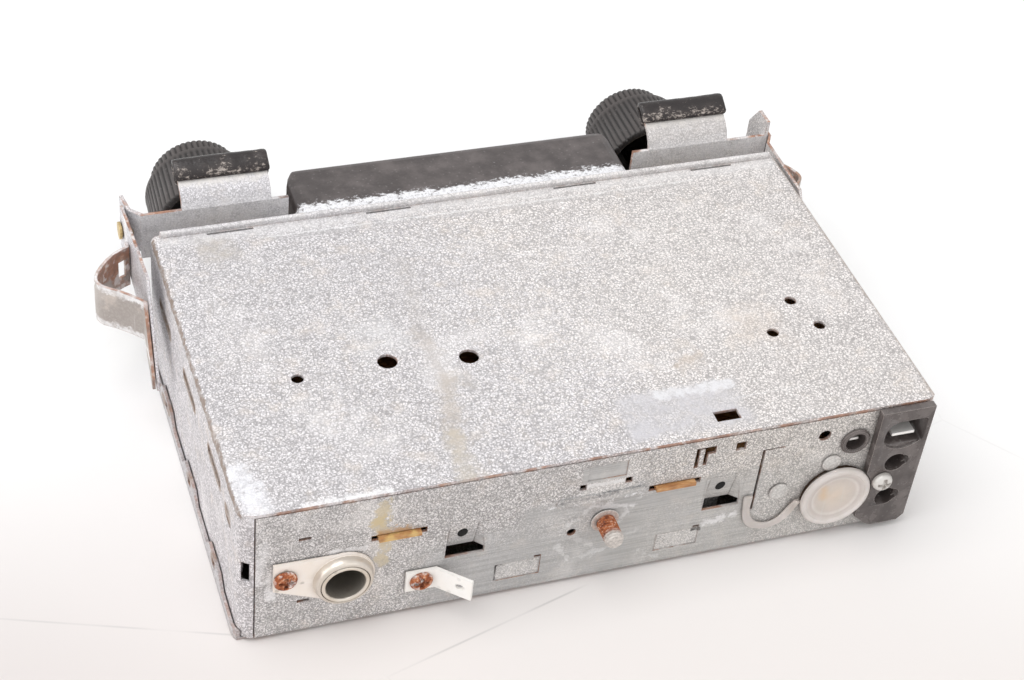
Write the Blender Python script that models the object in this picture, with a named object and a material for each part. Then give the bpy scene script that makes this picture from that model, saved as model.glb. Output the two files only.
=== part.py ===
"""A two-shaft car radio from the 1970s, laid on its bottom cover.

The front (knobs, nosepiece, mounting brackets) faces -Y and the rear panel faces +Y.
Places along the radio are given as a depth, which is the distance from the rear face
towards the front. Everything is in metres.
"""

import math

import bmesh
import bpy
from mathutils import Matrix, Vector

# Sheet metal and clearances
SHEET = 0.0008
FIT_GAP = 0.0003
OVERRUN = 0.002

# Case
BODY_WIDTH = 0.1800
FEATURE_SPAN = 0.1794
BODY_DEPTH = 0.1037
BODY_HEIGHT = 0.0437
CORNER_RADIUS = 0.0040
EDGE_RADIUS = 0.0022
CORNER_BAND = 0.0036
LIP_HEIGHT = 0.0016
LIP_WIDTH = 0.0014
LIP_INSET = 0.0024
LOCK_SLOT_LENGTH = 0.0125
LOCK_SLOT_WIDTH = 0.0007
LOCK_SLOT_SETBACK = 0.0010
LOCK_SLOT_SHARES = (0.386, 0.144, -0.155, -0.385)
ADJUST_HOLE_RADIUS = 0.0026
SMALL_HOLE_RADIUS = 0.0016
TOP_WINDOW_LENGTH = 0.0064
TOP_WINDOW_WIDTH = 0.0034
TOP_WINDOW_SHARES = (-0.1875, 0.060)
ADJUST_HOLE_SHARES = ((0.238, 0.420), (0.124, 0.394))
SMALL_HOLE_SHARES = ((0.367, 0.409), (-0.376, 0.414), (-0.321, 0.310), (-0.396, 0.311))
SIDE_SLOT_HEIGHT = 0.0022
SIDE_SLOTS = ((0.0851, 0.0309, 0.0138), (0.0551, 0.0330, 0.0138), (0.0264, 0.0346, 0.0135))
SIDE_NICK_Z = 0.0315
SIDE_NICK_LENGTH = 0.0042
SIDE_NICK_SHARE = 0.103
BAND_HOLE_WIDTH = 0.0018
BAND_HOLE_HEIGHT = 0.0064
BAND_HOLE_Z = 0.0244

# Bottom cover
PAN_FLANGE = 0.0032
PAN_REAR = 0.0013
PAN_TAB_HEIGHT = 0.0066
PAN_TAB_LENGTH = 0.0170
PAN_TAB_SLOPE = 0.0050
PAN_TAB_SHARES = (0.780, 0.500, 0.220)
PAN_CATCH_SIZE = 0.0024

# Rear panel features, x towards the panel's own left seen from behind
WINDOW_WIDTH = 0.0100
WINDOW_HEIGHT = 0.0112
WINDOW_Z = 0.0172
WINDOW_SHARES = (0.191, -0.187)
TONGUE_WIDTH = 0.0074
TONGUE_DROP = 0.0072
TONGUE_LEAN = 0.0036
TONGUE_HOLE_RADIUS = 0.0011
PRESS_WIDTH = 0.0119
PRESS_HEIGHT = 0.0060
PRESS_DEPTH = 0.0003
PRESS_Z = 0.0082
PRESS_SHARES = (0.1105, -0.1275)
PRESS_CORNER = 0.0018
FRAME_PRESS_WIDTH = 0.0119
FRAME_PRESS_HEIGHT = 0.0070
FRAME_PRESS_Z = 0.0371
RIDGE_LENGTH = 0.0235
RIDGE_HEIGHT = 0.0026
RIDGE_RISE = 0.0005
RIDGE_Z = 0.0293
PEEP_RADIUS = 0.0012
PEEP_SHARE = 0.0368
PEEP_Z = 0.0182
FORK_WIDTH = 0.0053
FORK_HEIGHT = 0.0066
FORK_LEG = 0.0010
FORK_SHARE = -0.147
FORK_Z = 0.0368
SQUARE_HOLE = 0.0027
SQUARE_SHARE = -0.1995
SQUARE_Z = 0.0385
SEAM_WIDTH = 0.0007
SEAM_SHARE = -0.2360
SEAM_LOW = 0.0142
SEAM_HIGH = 0.0356
SEAM_RUN = 0.0060
ROUND_HOLE_RADIUS = 0.0017
ROUND_HOLE_SHARE = -0.3290
ROUND_HOLE_Z = 0.0369
STOP_SLOT_WIDTH = 0.0030
STOP_SLOT_HEIGHT = 0.0009
STOP_SLOT_RISE = 0.0108
STOP_SLOT_MIDDLE = 0.0038

# Circuit board, whose two ears reach out through the rear panel
BOARD_THICK = 0.0010
BOARD_Z = 0.0285
BOARD_DEPTH = 0.0680
BOARD_EAR_REACH = 0.0013
BOARD_EAR_WIDTH = 0.0105
BOARD_SLIT_WIDTH = 0.0138
BOARD_SLIT_GAP = 0.0004
BOARD_EAR_SHARES = (0.2860, -0.1085)

# Aerial socket
AERIAL_X = 0.0650
AERIAL_Z = 0.0185
AERIAL_TUBE_RADIUS = 0.0060
AERIAL_BORE_RADIUS = 0.0049
AERIAL_REACH = 0.0044
AERIAL_INSIDE = 0.0150
AERIAL_PLATE_RADIUS = 0.0079
AERIAL_COLLAR_RISE = 0.0022
AERIAL_TAIL_LENGTH = 0.0170
AERIAL_TAIL_HEIGHT = 0.0088
AERIAL_TAIL_RISE = 0.0036
AERIAL_SCREW_SETBACK = 0.0028
AERIAL_CONTACT_RADIUS = 0.0021
AERIAL_CONTACT_LENGTH = 0.0060
PAN_HEAD_RADIUS = 0.0029
PAN_HEAD_HEIGHT = 0.0017
SCREW_RADIUS = 0.0015
SCREW_LENGTH = 0.0060
CROSS_LENGTH = 0.0032
CROSS_WIDTH = 0.0007
CROSS_DEPTH = 0.0009

# Earth blade
LUG_X = 0.0452
LUG_Z = 0.0120
LUG_BASE_LENGTH = 0.0078
LUG_HEIGHT = 0.0066
LUG_BLADE_LENGTH = 0.0100
LUG_BLADE_ANGLE = math.radians(42)
LUG_CHAMFER = 0.0012
LUG_HOLE_RADIUS = 0.0009

# Rear stud
STUD_X = -0.0018
STUD_Z = 0.0208
STUD_RADIUS = 0.0025
STUD_LENGTH = 0.0080
STUD_FLANGE_RADIUS = 0.0038
STUD_FLANGE_HEIGHT = 0.0009
STUD_ROOT = 0.0040

# Connector block at the rear
BLOCK_OUTER_X = 0.0879
BLOCK_INNER_X = 0.0730
BLOCK_TOP = 0.0431
BLOCK_BOTTOM = 0.0021
BLOCK_CORE_X = 0.0883
BLOCK_CORE_DEPTH = 0.0024
BLOCK_PROUD = 0.0020
BLOCK_CHAMFER = 0.0018
BLOCK_FOOT_CUT = 0.0042
BLOCK_CORE_TOP = 0.0414
BLOCK_INSIDE = 0.0130
BLOCK_WALL = 0.0010
BLOCK_WEB = 0.0010
POWER_OUTER_X = 0.0867
POWER_INNER_X = 0.0752
POWER_LOW = 0.0315
POWER_HIGH = 0.0395
POWER_ROUND = 0.0040
POWER_CORNER = 0.0009
POWER_LEDGE = 0.0019
BLADE_DROP = 0.0010
POWER_DEEP = 0.0100
POWER_SHALLOW = 0.0007
BLADE_WIDTH = 0.0063
BLADE_THICK = 0.0008
SPEAKER_RADIUS = 0.0030
SPEAKER_KEY_RADIUS = 0.0019
SPEAKER_KEY_OFFSET = 0.0020
SPEAKER_KEY_DEEP = 0.0012
SPEAKER_DEEP = 0.0110
SPEAKER_Z = (0.0247, 0.0122)
BLOCK_SCREW_Z = 0.0191
BLOCK_SCREW_INSET = 0.0047

# Small panel socket, the trimmer opening and its tethered cap
SOCKET_X = -0.0681
SOCKET_Z = 0.0333
SOCKET_RADIUS = 0.0040
SOCKET_BORE_RADIUS = 0.0027
SOCKET_PROUD = 0.0008
SOCKET_DEEP = 0.0090
PIN_WIDTH = 0.0024
PIN_THICK = 0.0007
TRIM_X = -0.0655
TRIM_Z = 0.0155
TRIM_OPENING_RADIUS = 0.0091
TRIM_CUP_RADIUS = 0.0080
TRIM_CUP_WALL = 0.0010
TRIM_CUP_DEEP = 0.0090
TRIM_SCREW_RADIUS = 0.0040
TRIM_SCREW_LENGTH = 0.0050
CAP_RADIUS = 0.0097
CAP_SEAT = 0.0012
CAP_SPIGOT = 0.0022
CAP_THICK = 0.0010
CAP_BEAD = 0.0006
CAP_BEAD_WIDTH = 0.0016
STRAP_WIDTH = 0.0021
STRAP_THICK = 0.0007
STRAP_SHARES = ((1.00, 1.00), (1.00, 0.55), (0.97, 0.20), (0.86, 0.03), (0.70, 0.00), (0.53, 0.07),
                (0.40, 0.22), (0.25, 0.42), (0.10, 0.55), (0.00, 0.62))
STRAP_SPAN = 0.0155
STRAP_RISE = 0.0128
STRAP_DROP = 0.0090
RIVET_RADIUS = 0.0026
RIVET_HEIGHT = 0.0006
RIVET_PLACES = ((-0.0493, 0.0197), (-0.0628, 0.0268))

# Shaft line: bushes, nuts, shafts and knobs
SHAFT_X = 0.0673
SHAFT_Z = 0.0196
BUSH_RADIUS = 0.0050
BUSH_BORE_RADIUS = 0.0035
BUSH_SHOULDER_RADIUS = 0.0080
BUSH_REAR = 0.0055
NUT_RADIUS = 0.0078
NUT_HEIGHT = 0.0032
THREAD_LENGTH = 0.0080
SLEEVE_RADIUS = 0.0031
SLEEVE_BORE_RADIUS = 0.0023
SHAFT_RADIUS = 0.0019
RING_STANDOFF = 0.0180
RING_LENGTH = 0.0180
RING_REAR_RADIUS = 0.0166
RING_FRONT_RADIUS = 0.0156
RING_WALL = 0.0020
RING_HUB_RADIUS = 0.0056
RING_RIBS = 60
KNOB_GAP = 0.0005
KNOB_LENGTH = 0.0067
KNOB_RADIUS = 0.0129
KNOB_DISH = 0.0008
KNOB_RIM = 0.0020
KNOB_CHAMFER = 0.0007
KNOB_BORE_DEPTH = 0.0042
KNOB_RIBS = 48
RIB_DEPTH = 0.0004

# Mounting brackets, side arms and leaf springs
BRACKET_STANDOFF = 0.0103
BRACKET_SHEET = 0.0010
BRACKET_INNER_X = 0.0503
BRACKET_OUTER_X = 0.0925
BRACKET_TOP = 0.0426
BRACKET_STRIP = 0.0145
BRACKET_SHOULDER_X = 0.0845
BRACKET_FOOT = 0.0052
BRACKET_CORNER = 0.0030
TAB_WIDTH = 0.0244
TAB_CURVE = ((0.0000, 0.0000), (0.0010, 0.0026), (0.0028, 0.0046), (0.0055, 0.0063))
TAB_END_ANGLE = math.radians(31)
TAB_END_LENGTH = 0.0046
RUBBER_WIDTH = 0.0256
RUBBER_THICK = 0.0040
RUBBER_LENGTH = 0.0040
RUBBER_SKIRT = 0.0007
EAR_BEND = ((0.0906, 0.0000), (0.0936, 0.0034), (0.0945, 0.0098))
EAR_REACH = 0.0095
EAR_HEIGHT = 0.0170
EAR_ABOVE = 0.0048
EAR_CHAMFER = 0.0046
ARM_FRONT_LAP = 0.0045
ARM_TOP_LENGTH = 0.0260
ARM_LENGTH = 0.0410
ARM_TIP_Z = 0.0205
ARM_TIP_HEIGHT = 0.0030
ARM_FRONT_FOOT = 0.0290
ARM_LINES = {
    -1: ((0.0928, -0.0055), (0.0928, 0.0000), (0.0907, 0.0034), (0.0907, 0.0410)),
    1: ((0.0943, -0.0055), (0.0940, 0.0000), (0.0932, 0.0250), (0.0940, 0.0410)),
}
SPRING_LOW = 0.0248
SPRING_HEIGHT = 0.0130
SPRING_BULGE = {-1: 0.0051, 1: 0.0107}
SPRING_CHORD = {-1: 0.0151, 1: 0.0225}
SPRING_FRONT = 0.0038
SPRING_SETBACK = 0.0062
SPRING_TIP_GAP = 0.0005
SPRING_WINDOW_LOW = 0.0285
SPRING_WINDOW_HEIGHT = 0.0056
SPRING_WINDOW_SPAN = (0.0013, 0.0037)
SPRING_SHARES = ((0.00, 0.00), (0.40, 0.10), (0.78, 0.29), (0.97, 0.44), (1.00, 0.53), (0.90, 0.62),
                 (0.62, 0.72), (0.36, 0.83), (0.12, 0.94), (0.00, 1.00))
ARM_RIVET_RADIUS = 0.0024
ARM_RIVET_HEAD = 0.0007
ARM_RIVET_Z = 0.0358

# Nosepiece, dial and push buttons
NOSE_WIDTH = 0.0970
NOSE_TOP = 0.0396
NOSE_BOTTOM = 0.0048
NOSE_DEPTH = 0.0270
NOSE_WALL = 0.0016
NOSE_CORNER = 0.0034
NOSE_PLAN_ROUND = 0.0080
NOSE_FRONT_ROUND = 0.0030
DIAL_WIDTH = 0.0800
DIAL_HEIGHT = 0.0128
DIAL_Z = 0.0298
LENS_THICK = 0.0012
LENS_LAP = 0.0014
SCALE_THICK = 0.0010
SCALE_SETBACK = 0.0052
POINTER_WIDTH = 0.0014
POINTER_THICK = 0.0008
POINTER_CLIP = 0.0040
BUTTON_COUNT = 5
BUTTON_WIDTH = 0.0122
BUTTON_HEIGHT = 0.0082
BUTTON_PITCH = 0.0152
BUTTON_Z = 0.0142
BUTTON_PROUD = 0.0058
BUTTON_TAIL = 0.0110
BUTTON_LAP = 0.0008
BUTTON_BEVEL = 0.0008

# Pieces inside the case
RAIL_HEIGHT = 0.0070
RAIL_WIDTH = 0.0050
CONTROL_RADIUS = 0.0115
CONTROL_LENGTH = 0.0140
DRUM_RADIUS = 0.0100
DRUM_WIDTH = 0.0060
COIL_BLOCK_LENGTH = 0.0280
COIL_BLOCK_DEPTH = 0.0170
COIL_BLOCK_HEIGHT = 0.0290
COIL_BLOCK_X = 0.0020
COIL_BORE_RADIUS = 0.0026
CORE_RADIUS = 0.0021
CORE_PITCH = 0.0085
CORE_INSERT = 0.0140
CORE_EXPOSED = 0.0130
CARRIAGE_THICK = 0.0020
HEAT_SINK_WIDTH = 0.0340
HEAT_SINK_DEPTH = 0.0160
HEAT_SINK_HEIGHT = 0.0220
HEAT_SINK_FINS = 6
LAMP_RADIUS = 0.0023
LAMP_LENGTH = 0.0100

# Places worked out from the sizes
BRACKET_DEPTH = BODY_DEPTH + BRACKET_STANDOFF
BRACKET_FACE_DEPTH = BRACKET_DEPTH + BRACKET_SHEET
RING_DEPTH = BRACKET_FACE_DEPTH + RING_STANDOFF
KNOB_DEPTH = RING_DEPTH + RING_LENGTH + KNOB_GAP
FRONT_DEPTH = KNOB_DEPTH + KNOB_LENGTH
REAR_Y = (FRONT_DEPTH - STUD_LENGTH) / 2
HALF_WIDTH = BODY_WIDTH / 2
PANEL_BASE = SHEET + FIT_GAP
PANEL_TOP = BODY_HEIGHT - SHEET - FIT_GAP
PANEL_HALF = HALF_WIDTH - CORNER_BAND - FIT_GAP
INNER_HALF = HALF_WIDTH - SHEET - FIT_GAP
ROUND_STEPS = 24


def at(depth):
    """The y of a place that lies this far in front of the rear face."""
    return REAR_Y - depth


def across(share):
    """The x of a place given as a share of the width between the case's corner folds."""
    return share * FEATURE_SPAN


def remove_start_objects():
    """Empties the scene."""
    for old in list(bpy.data.objects):
        bpy.data.objects.remove(old)


def make_material(name, colour, roughness, metallic):
    """A Principled material in one plain finish."""
    material = bpy.data.materials.new(name)
    material.use_nodes = True
    shader = material.node_tree.nodes["Principled BSDF"]
    shader.inputs["Base Color"].default_value = (*colour, 1)
    shader.inputs["Roughness"].default_value = roughness
    shader.inputs["Metallic"].default_value = metallic
    return material


def arc(centre, radius, start, end, steps):
    """Points on an arc, angles in degrees, both ends included."""
    angles = [math.radians(start + (end - start) * i / steps) for i in range(steps + 1)]
    return [(centre[0] + radius * math.cos(a), centre[1] + radius * math.sin(a)) for a in angles]


def rectangle(low_a, low_b, high_a, high_b):
    """The four corners of an upright rectangle."""
    return [(low_a, low_b), (high_a, low_b), (high_a, high_b), (low_a, high_b)]


def centred(a, b, width, height):
    """A rectangle about a centre."""
    return rectangle(a - width / 2, b - height / 2, a + width / 2, b + height / 2)


def rounded(low_a, low_b, high_a, high_b, radius, steps=4):
    """A rectangle with all four corners rounded."""
    points = arc((high_a - radius, high_b - radius), radius, 0, 90, steps)
    points += arc((low_a + radius, high_b - radius), radius, 90, 180, steps)
    points += arc((low_a + radius, low_b + radius), radius, 180, 270, steps)
    return points + arc((high_a - radius, low_b + radius), radius, 270, 360, steps)


def smooth_path(points, steps):
    """A Catmull-Rom curve through the points."""
    ends = [points[0]] + list(points) + [points[-1]]
    curve = []
    for before, start, end, after in zip(ends, ends[1:], ends[2:], ends[3:]):
        for step in range(steps):
            t = step / steps
            curve.append(tuple(
                0.5 * (2 * b + (c - a) * t + (2 * a - 5 * b + 4 * c - d) * t * t
                       + (3 * b - a - 3 * c + d) * t ** 3)
                for a, b, c, d in zip(before, start, end, after)))
    return curve + [tuple(points[-1])]


def strip_outline(path, thickness):
    """The outline of a bent sheet: the path and its copy set off to the left by the thickness."""
    offset = []
    for i, here in enumerate(path):
        before = Vector(path[max(i - 1, 0)])
        after = Vector(path[min(i + 1, len(path) - 1)])
        run = (after - before).normalized()
        side = Vector((-run.y, run.x))
        into = (Vector(here) - before).normalized() if i else run
        stretch = max(abs(into.dot(run)), 0.6)
        offset.append(tuple(Vector(here) + side * thickness / stretch))
    return list(path) + offset[::-1]


def extruded(outline, plane, low, high):
    """A prism: an outline in plane XY, XZ or YZ drawn along the third axis."""
    place = {
        "XY": lambda a, b, c: (a, b, c),
        "XZ": lambda a, b, c: (a, c, b),
        "YZ": lambda a, b, c: (c, a, b),
    }[plane]
    shape = bmesh.new()
    first = [shape.verts.new(place(a, b, low)) for a, b in outline]
    last = [shape.verts.new(place(a, b, high)) for a, b in outline]
    shape.faces.new(first)
    shape.faces.new(last)
    count = len(outline)
    for i in range(count):
        follow = (i + 1) % count
        shape.faces.new((first[i], first[follow], last[follow], last[i]))
    bmesh.ops.recalc_face_normals(shape, faces=shape.faces)
    return shape


def box(low, high):
    """A block between two opposite corners."""
    return extruded(rectangle(low[0], low[1], high[0], high[1]), "XY", low[2], high[2])


def turned(profile, centre_x, centre_z, steps=ROUND_STEPS, ribs=None, start=0.0):
    """A solid turned about an axis along Y.

    The profile is a closed loop of (radius, depth). A radius of zero is a point on the
    axis. ribs names the profile points whose radius is cut back by RIB_DEPTH at every
    other step.
    """
    shape = bmesh.new()
    rings = []
    for index, (radius, depth) in enumerate(profile):
        if radius == 0:
            rings.append([shape.verts.new((centre_x, at(depth), centre_z))])
            continue
        ring = []
        for step in range(steps):
            angle = start + 2 * math.pi * step / steps
            cut = RIB_DEPTH if ribs and index in ribs and step % 2 else 0
            x = centre_x + (radius - cut) * math.cos(angle)
            z = centre_z + (radius - cut) * math.sin(angle)
            ring.append(shape.verts.new((x, at(depth), z)))
        rings.append(ring)
    for one, two in zip(rings, rings[1:] + rings[:1]):
        if len(one) == 1 and len(two) == 1:
            continue
        for step in range(steps):
            follow = (step + 1) % steps
            if len(one) == 1:
                shape.faces.new((one[0], two[step], two[follow]))
            elif len(two) == 1:
                shape.faces.new((one[step], two[0], one[follow]))
            else:
                shape.faces.new((one[step], two[step], two[follow], one[follow]))
    bmesh.ops.recalc_face_normals(shape, faces=shape.faces)
    return shape


def rod(radius, low_depth, high_depth, centre_x, centre_z, steps=ROUND_STEPS, start=0.0):
    """A plain round bar along Y."""
    profile = [(0, low_depth), (radius, low_depth), (radius, high_depth), (0, high_depth)]
    return turned(profile, centre_x, centre_z, steps, start=start)


def tube(outer, bore, low_depth, high_depth, centre_x, centre_z, steps=ROUND_STEPS):
    """A plain round tube along Y."""
    profile = [(bore, low_depth), (outer, low_depth), (outer, high_depth), (bore, high_depth)]
    return turned(profile, centre_x, centre_z, steps)


def upright_rod(radius, low_z, high_z, centre_x, centre_y, steps=ROUND_STEPS):
    """A plain round bar along Z."""
    outline = arc((centre_x, centre_y), radius, 0, 360 - 360 / steps, steps - 1)
    return extruded(outline, "XY", low_z, high_z)


def cross_rod(radius, low_x, high_x, depth, centre_z, steps=16):
    """A plain round bar along X."""
    outline = arc((at(depth), centre_z), radius, 0, 360 - 360 / steps, steps - 1)
    return extruded(outline, "YZ", low_x, high_x)


def joined(shapes):
    """Several closed shapes in one mesh."""
    whole = bmesh.new()
    for shape in shapes:
        carried = bpy.data.meshes.new("carried")
        shape.to_mesh(carried)
        shape.free()
        whole.from_mesh(carried)
        bpy.data.meshes.remove(carried)
    return whole


def make_object(name, shape, origin=(0, 0, 0)):
    """Turns a shape into an object whose origin is where it turns or slides."""
    bmesh.ops.translate(shape, verts=shape.verts, vec=-Vector(origin))
    mesh = bpy.data.meshes.new(name)
    shape.to_mesh(mesh)
    shape.free()
    made = bpy.data.objects.new(name, mesh)
    made.location = origin
    bpy.context.scene.collection.objects.link(made)
    return made


def make_helper(name, shape):
    """An object that only cuts or joins another and isn't part of the radio."""
    helper = make_object(name, shape)
    helper.hide_render = True
    helper.display_type = "WIRE"
    return helper


def add_boolean(target, helper, operation):
    """Cuts, joins or keeps what the helper covers."""
    step = target.modifiers.new(helper.name, "BOOLEAN")
    step.operation = operation
    step.solver = "EXACT"
    step.use_self = operation == "DIFFERENCE"
    step.object = helper


def assemble(name, material, base, adds=(), keep=None, cuts=(), after=(), origin=(0, 0, 0)):
    """One piece of the radio: a base shape, what is joined to it and what is cut away.

    adds come before the cuts and after comes behind them, as a tongue does that stands
    in its own opening. keep trims the base to a second shape.
    """
    piece = make_object(name, base, origin)
    piece.data.materials.append(material)
    if keep:
        add_boolean(piece, make_helper(f"{name}_keep", keep), "INTERSECT")
    for number, shape in enumerate(adds):
        add_boolean(piece, make_helper(f"{name}_add_{number}", shape), "UNION")
    if cuts:
        add_boolean(piece, make_helper(f"{name}_cut", joined(cuts)), "DIFFERENCE")
    for number, shape in enumerate(after):
        add_boolean(piece, make_helper(f"{name}_after_{number}", shape), "UNION")
    piece.data.shade_smooth()
    piece.data.set_sharp_from_angle(angle=math.radians(32))
    return piece


def body_plan(half_width, front_depth, rear_depth, radius):
    """The case seen from above, with its two rear corners rounded."""
    rear = at(rear_depth)
    points = [(-half_width, at(front_depth)), (half_width, at(front_depth))]
    points += arc((half_width - radius, rear - radius), radius, 0, 90, 5)
    return points + arc((radius - half_width, rear - radius), radius, 90, 180, 5)


def body_section(half_width, low, high, radius):
    """The case seen from behind, with its two upper edges rounded."""
    points = [(-half_width, low), (half_width, low)]
    points += arc((half_width - radius, high - radius), radius, 0, 90, 4)
    return points + arc((radius - half_width, high - radius), radius, 90, 180, 4)


def make_case_shell(zinc):
    """Top cover and both side walls in one sheet, wrapped round the rear corners."""
    front = BODY_DEPTH
    block = extruded(body_section(HALF_WIDTH, PANEL_BASE, BODY_HEIGHT, EDGE_RADIUS), "XZ",
                     at(front), at(0))
    plan = extruded(body_plan(HALF_WIDTH, front + OVERRUN, 0, CORNER_RADIUS), "XY",
                    PANEL_BASE - OVERRUN, BODY_HEIGHT + OVERRUN)
    lip_low = BODY_HEIGHT - SHEET / 2
    lip = extruded(rounded(at(front), lip_low, at(front - LIP_WIDTH), BODY_HEIGHT + LIP_HEIGHT,
                           LIP_WIDTH * 0.4, 3), "YZ",
                   LIP_INSET - HALF_WIDTH, HALF_WIDTH - LIP_INSET)
    shell = assemble("case_shell", zinc, block, adds=[lip], keep=plan)

    inner = make_helper("case_shell_hollow", extruded(
        body_section(HALF_WIDTH - SHEET, PANEL_BASE - OVERRUN, BODY_HEIGHT - SHEET,
                     EDGE_RADIUS - SHEET), "XZ", at(front + OVERRUN), at(SHEET)))
    inner_plan = make_helper("case_shell_hollow_plan", extruded(
        body_plan(HALF_WIDTH - SHEET, front + 2 * OVERRUN, SHEET, CORNER_RADIUS - SHEET), "XY",
        PANEL_BASE - 2 * OVERRUN, BODY_HEIGHT))
    add_boolean(inner, inner_plan, "INTERSECT")
    add_boolean(shell, inner, "DIFFERENCE")

    half_opening = HALF_WIDTH - CORNER_BAND
    wide = HALF_WIDTH + OVERRUN
    cuts = [box((-half_opening, at(SHEET + OVERRUN), PANEL_BASE - OVERRUN),
                (half_opening, at(-OVERRUN), BODY_HEIGHT - SHEET)),
            box((-BLOCK_CORE_X - FIT_GAP, at(BLOCK_CORE_DEPTH), BLOCK_FOOT_CUT - FIT_GAP),
                (OVERRUN - half_opening, at(-OVERRUN), BLOCK_CORE_TOP + FIT_GAP))]
    top = (BODY_HEIGHT - SHEET - OVERRUN, BODY_HEIGHT + OVERRUN)
    slot_depth = front - LOCK_SLOT_SETBACK - LIP_WIDTH / 2
    for share in LOCK_SLOT_SHARES:
        x = across(share)
        cuts.append(box((x - LOCK_SLOT_LENGTH / 2, at(slot_depth), top[0]),
                        (x + LOCK_SLOT_LENGTH / 2, at(slot_depth - LOCK_SLOT_WIDTH), top[1])))
    for shares, radius in ((ADJUST_HOLE_SHARES, ADJUST_HOLE_RADIUS),
                           (SMALL_HOLE_SHARES, SMALL_HOLE_RADIUS)):
        for across_share, depth_share in shares:
            cuts.append(upright_rod(radius, *top, across(across_share),
                                    at(depth_share * BODY_DEPTH), 14))
    x, depth = across(TOP_WINDOW_SHARES[0]), TOP_WINDOW_SHARES[1] * BODY_DEPTH
    window = centred(x, at(depth), TOP_WINDOW_LENGTH, TOP_WINDOW_WIDTH)
    cuts.append(extruded(window, "XY", *top))
    for depth, z, length in SIDE_SLOTS:
        slot = centred(at(depth), z, length, SIDE_SLOT_HEIGHT)
        cuts.append(extruded(slot, "YZ", -wide, wide))
    nick = centred(at(SIDE_NICK_SHARE * BODY_DEPTH), SIDE_NICK_Z,
                   SIDE_NICK_LENGTH, SIDE_SLOT_HEIGHT / 2)
    cuts.append(extruded(nick, "YZ", -wide, wide))
    add_boolean(shell, make_helper("case_shell_openings", joined(cuts)), "DIFFERENCE")

    band_x = HALF_WIDTH - CORNER_BAND / 2
    bands = [extruded(centred(side * band_x, BAND_HOLE_Z, BAND_HOLE_WIDTH, BAND_HOLE_HEIGHT), "XZ",
                      at(CORNER_RADIUS), at(-OVERRUN)) for side in (-1, 1)]
    add_boolean(shell, make_helper("case_shell_band_holes", joined(bands)), "DIFFERENCE")


def make_bottom_cover(zinc):
    """The pan that closes the case from below, with a wavy flange outside the side walls."""
    inner = HALF_WIDTH + FIT_GAP
    outer = inner + SHEET
    front = BODY_DEPTH - FIT_GAP
    corner = CORNER_RADIUS + FIT_GAP
    pan = extruded(body_plan(outer, front, -FIT_GAP - SHEET, corner + SHEET), "XY",
                   0, PAN_TAB_HEIGHT)
    hollow = extruded(body_plan(inner, front + OVERRUN, -FIT_GAP, corner), "XY",
                      SHEET, PAN_TAB_HEIGHT + OVERRUN)
    rear_gap = box((-outer - OVERRUN, at(PAN_REAR), -OVERRUN),
                   (outer + OVERRUN, at(-2 * OVERRUN), PAN_TAB_HEIGHT + 3 * OVERRUN))
    trough = [(at(front + OVERRUN), PAN_TAB_HEIGHT + OVERRUN), (at(front + OVERRUN), PAN_FLANGE)]
    for share in PAN_TAB_SHARES:
        centre = share * BODY_DEPTH
        half = PAN_TAB_LENGTH / 2
        trough += [(at(centre + half), PAN_FLANGE),
                   (at(centre + half - PAN_TAB_SLOPE), PAN_TAB_HEIGHT + OVERRUN),
                   (at(centre - half + PAN_TAB_SLOPE), PAN_TAB_HEIGHT + OVERRUN),
                   (at(centre - half), PAN_FLANGE)]
    rear_end = at(-OVERRUN - corner)
    trough += [(rear_end, PAN_FLANGE), (rear_end, PAN_TAB_HEIGHT + 2 * OVERRUN),
               (at(front + OVERRUN), PAN_TAB_HEIGHT + 2 * OVERRUN)]
    wave = extruded(trough[1:], "YZ", -outer - OVERRUN, outer + OVERRUN)
    catches = [extruded(centred(at(share * BODY_DEPTH), PAN_TAB_HEIGHT - PAN_CATCH_SIZE,
                                PAN_CATCH_SIZE, PAN_CATCH_SIZE), "YZ",
                        -outer - OVERRUN, outer + OVERRUN) for share in PAN_TAB_SHARES]
    cover = assemble("bottom_cover", zinc, pan, cuts=[hollow])
    for label, shape in (("rear_gap", rear_gap), ("wave", wave), ("catches", joined(catches))):
        add_boolean(cover, make_helper(f"bottom_cover_{label}", shape), "DIFFERENCE")


def window_tongue(share):
    """A tongue that leans into the case from the top edge of its window."""
    x = across(share)
    top = WINDOW_Z + WINDOW_HEIGHT
    lean = TONGUE_LEAN
    side = [(at(0), top + SHEET), (at(SHEET), top + SHEET), (at(SHEET + lean), top - TONGUE_DROP),
            (at(lean), top - TONGUE_DROP)]
    left = x - WINDOW_WIDTH / 2 + FIT_GAP
    return extruded(side, "YZ", left + WINDOW_WIDTH - 2 * FIT_GAP - TONGUE_WIDTH,
                    left + WINDOW_WIDTH - 2 * FIT_GAP)


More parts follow.
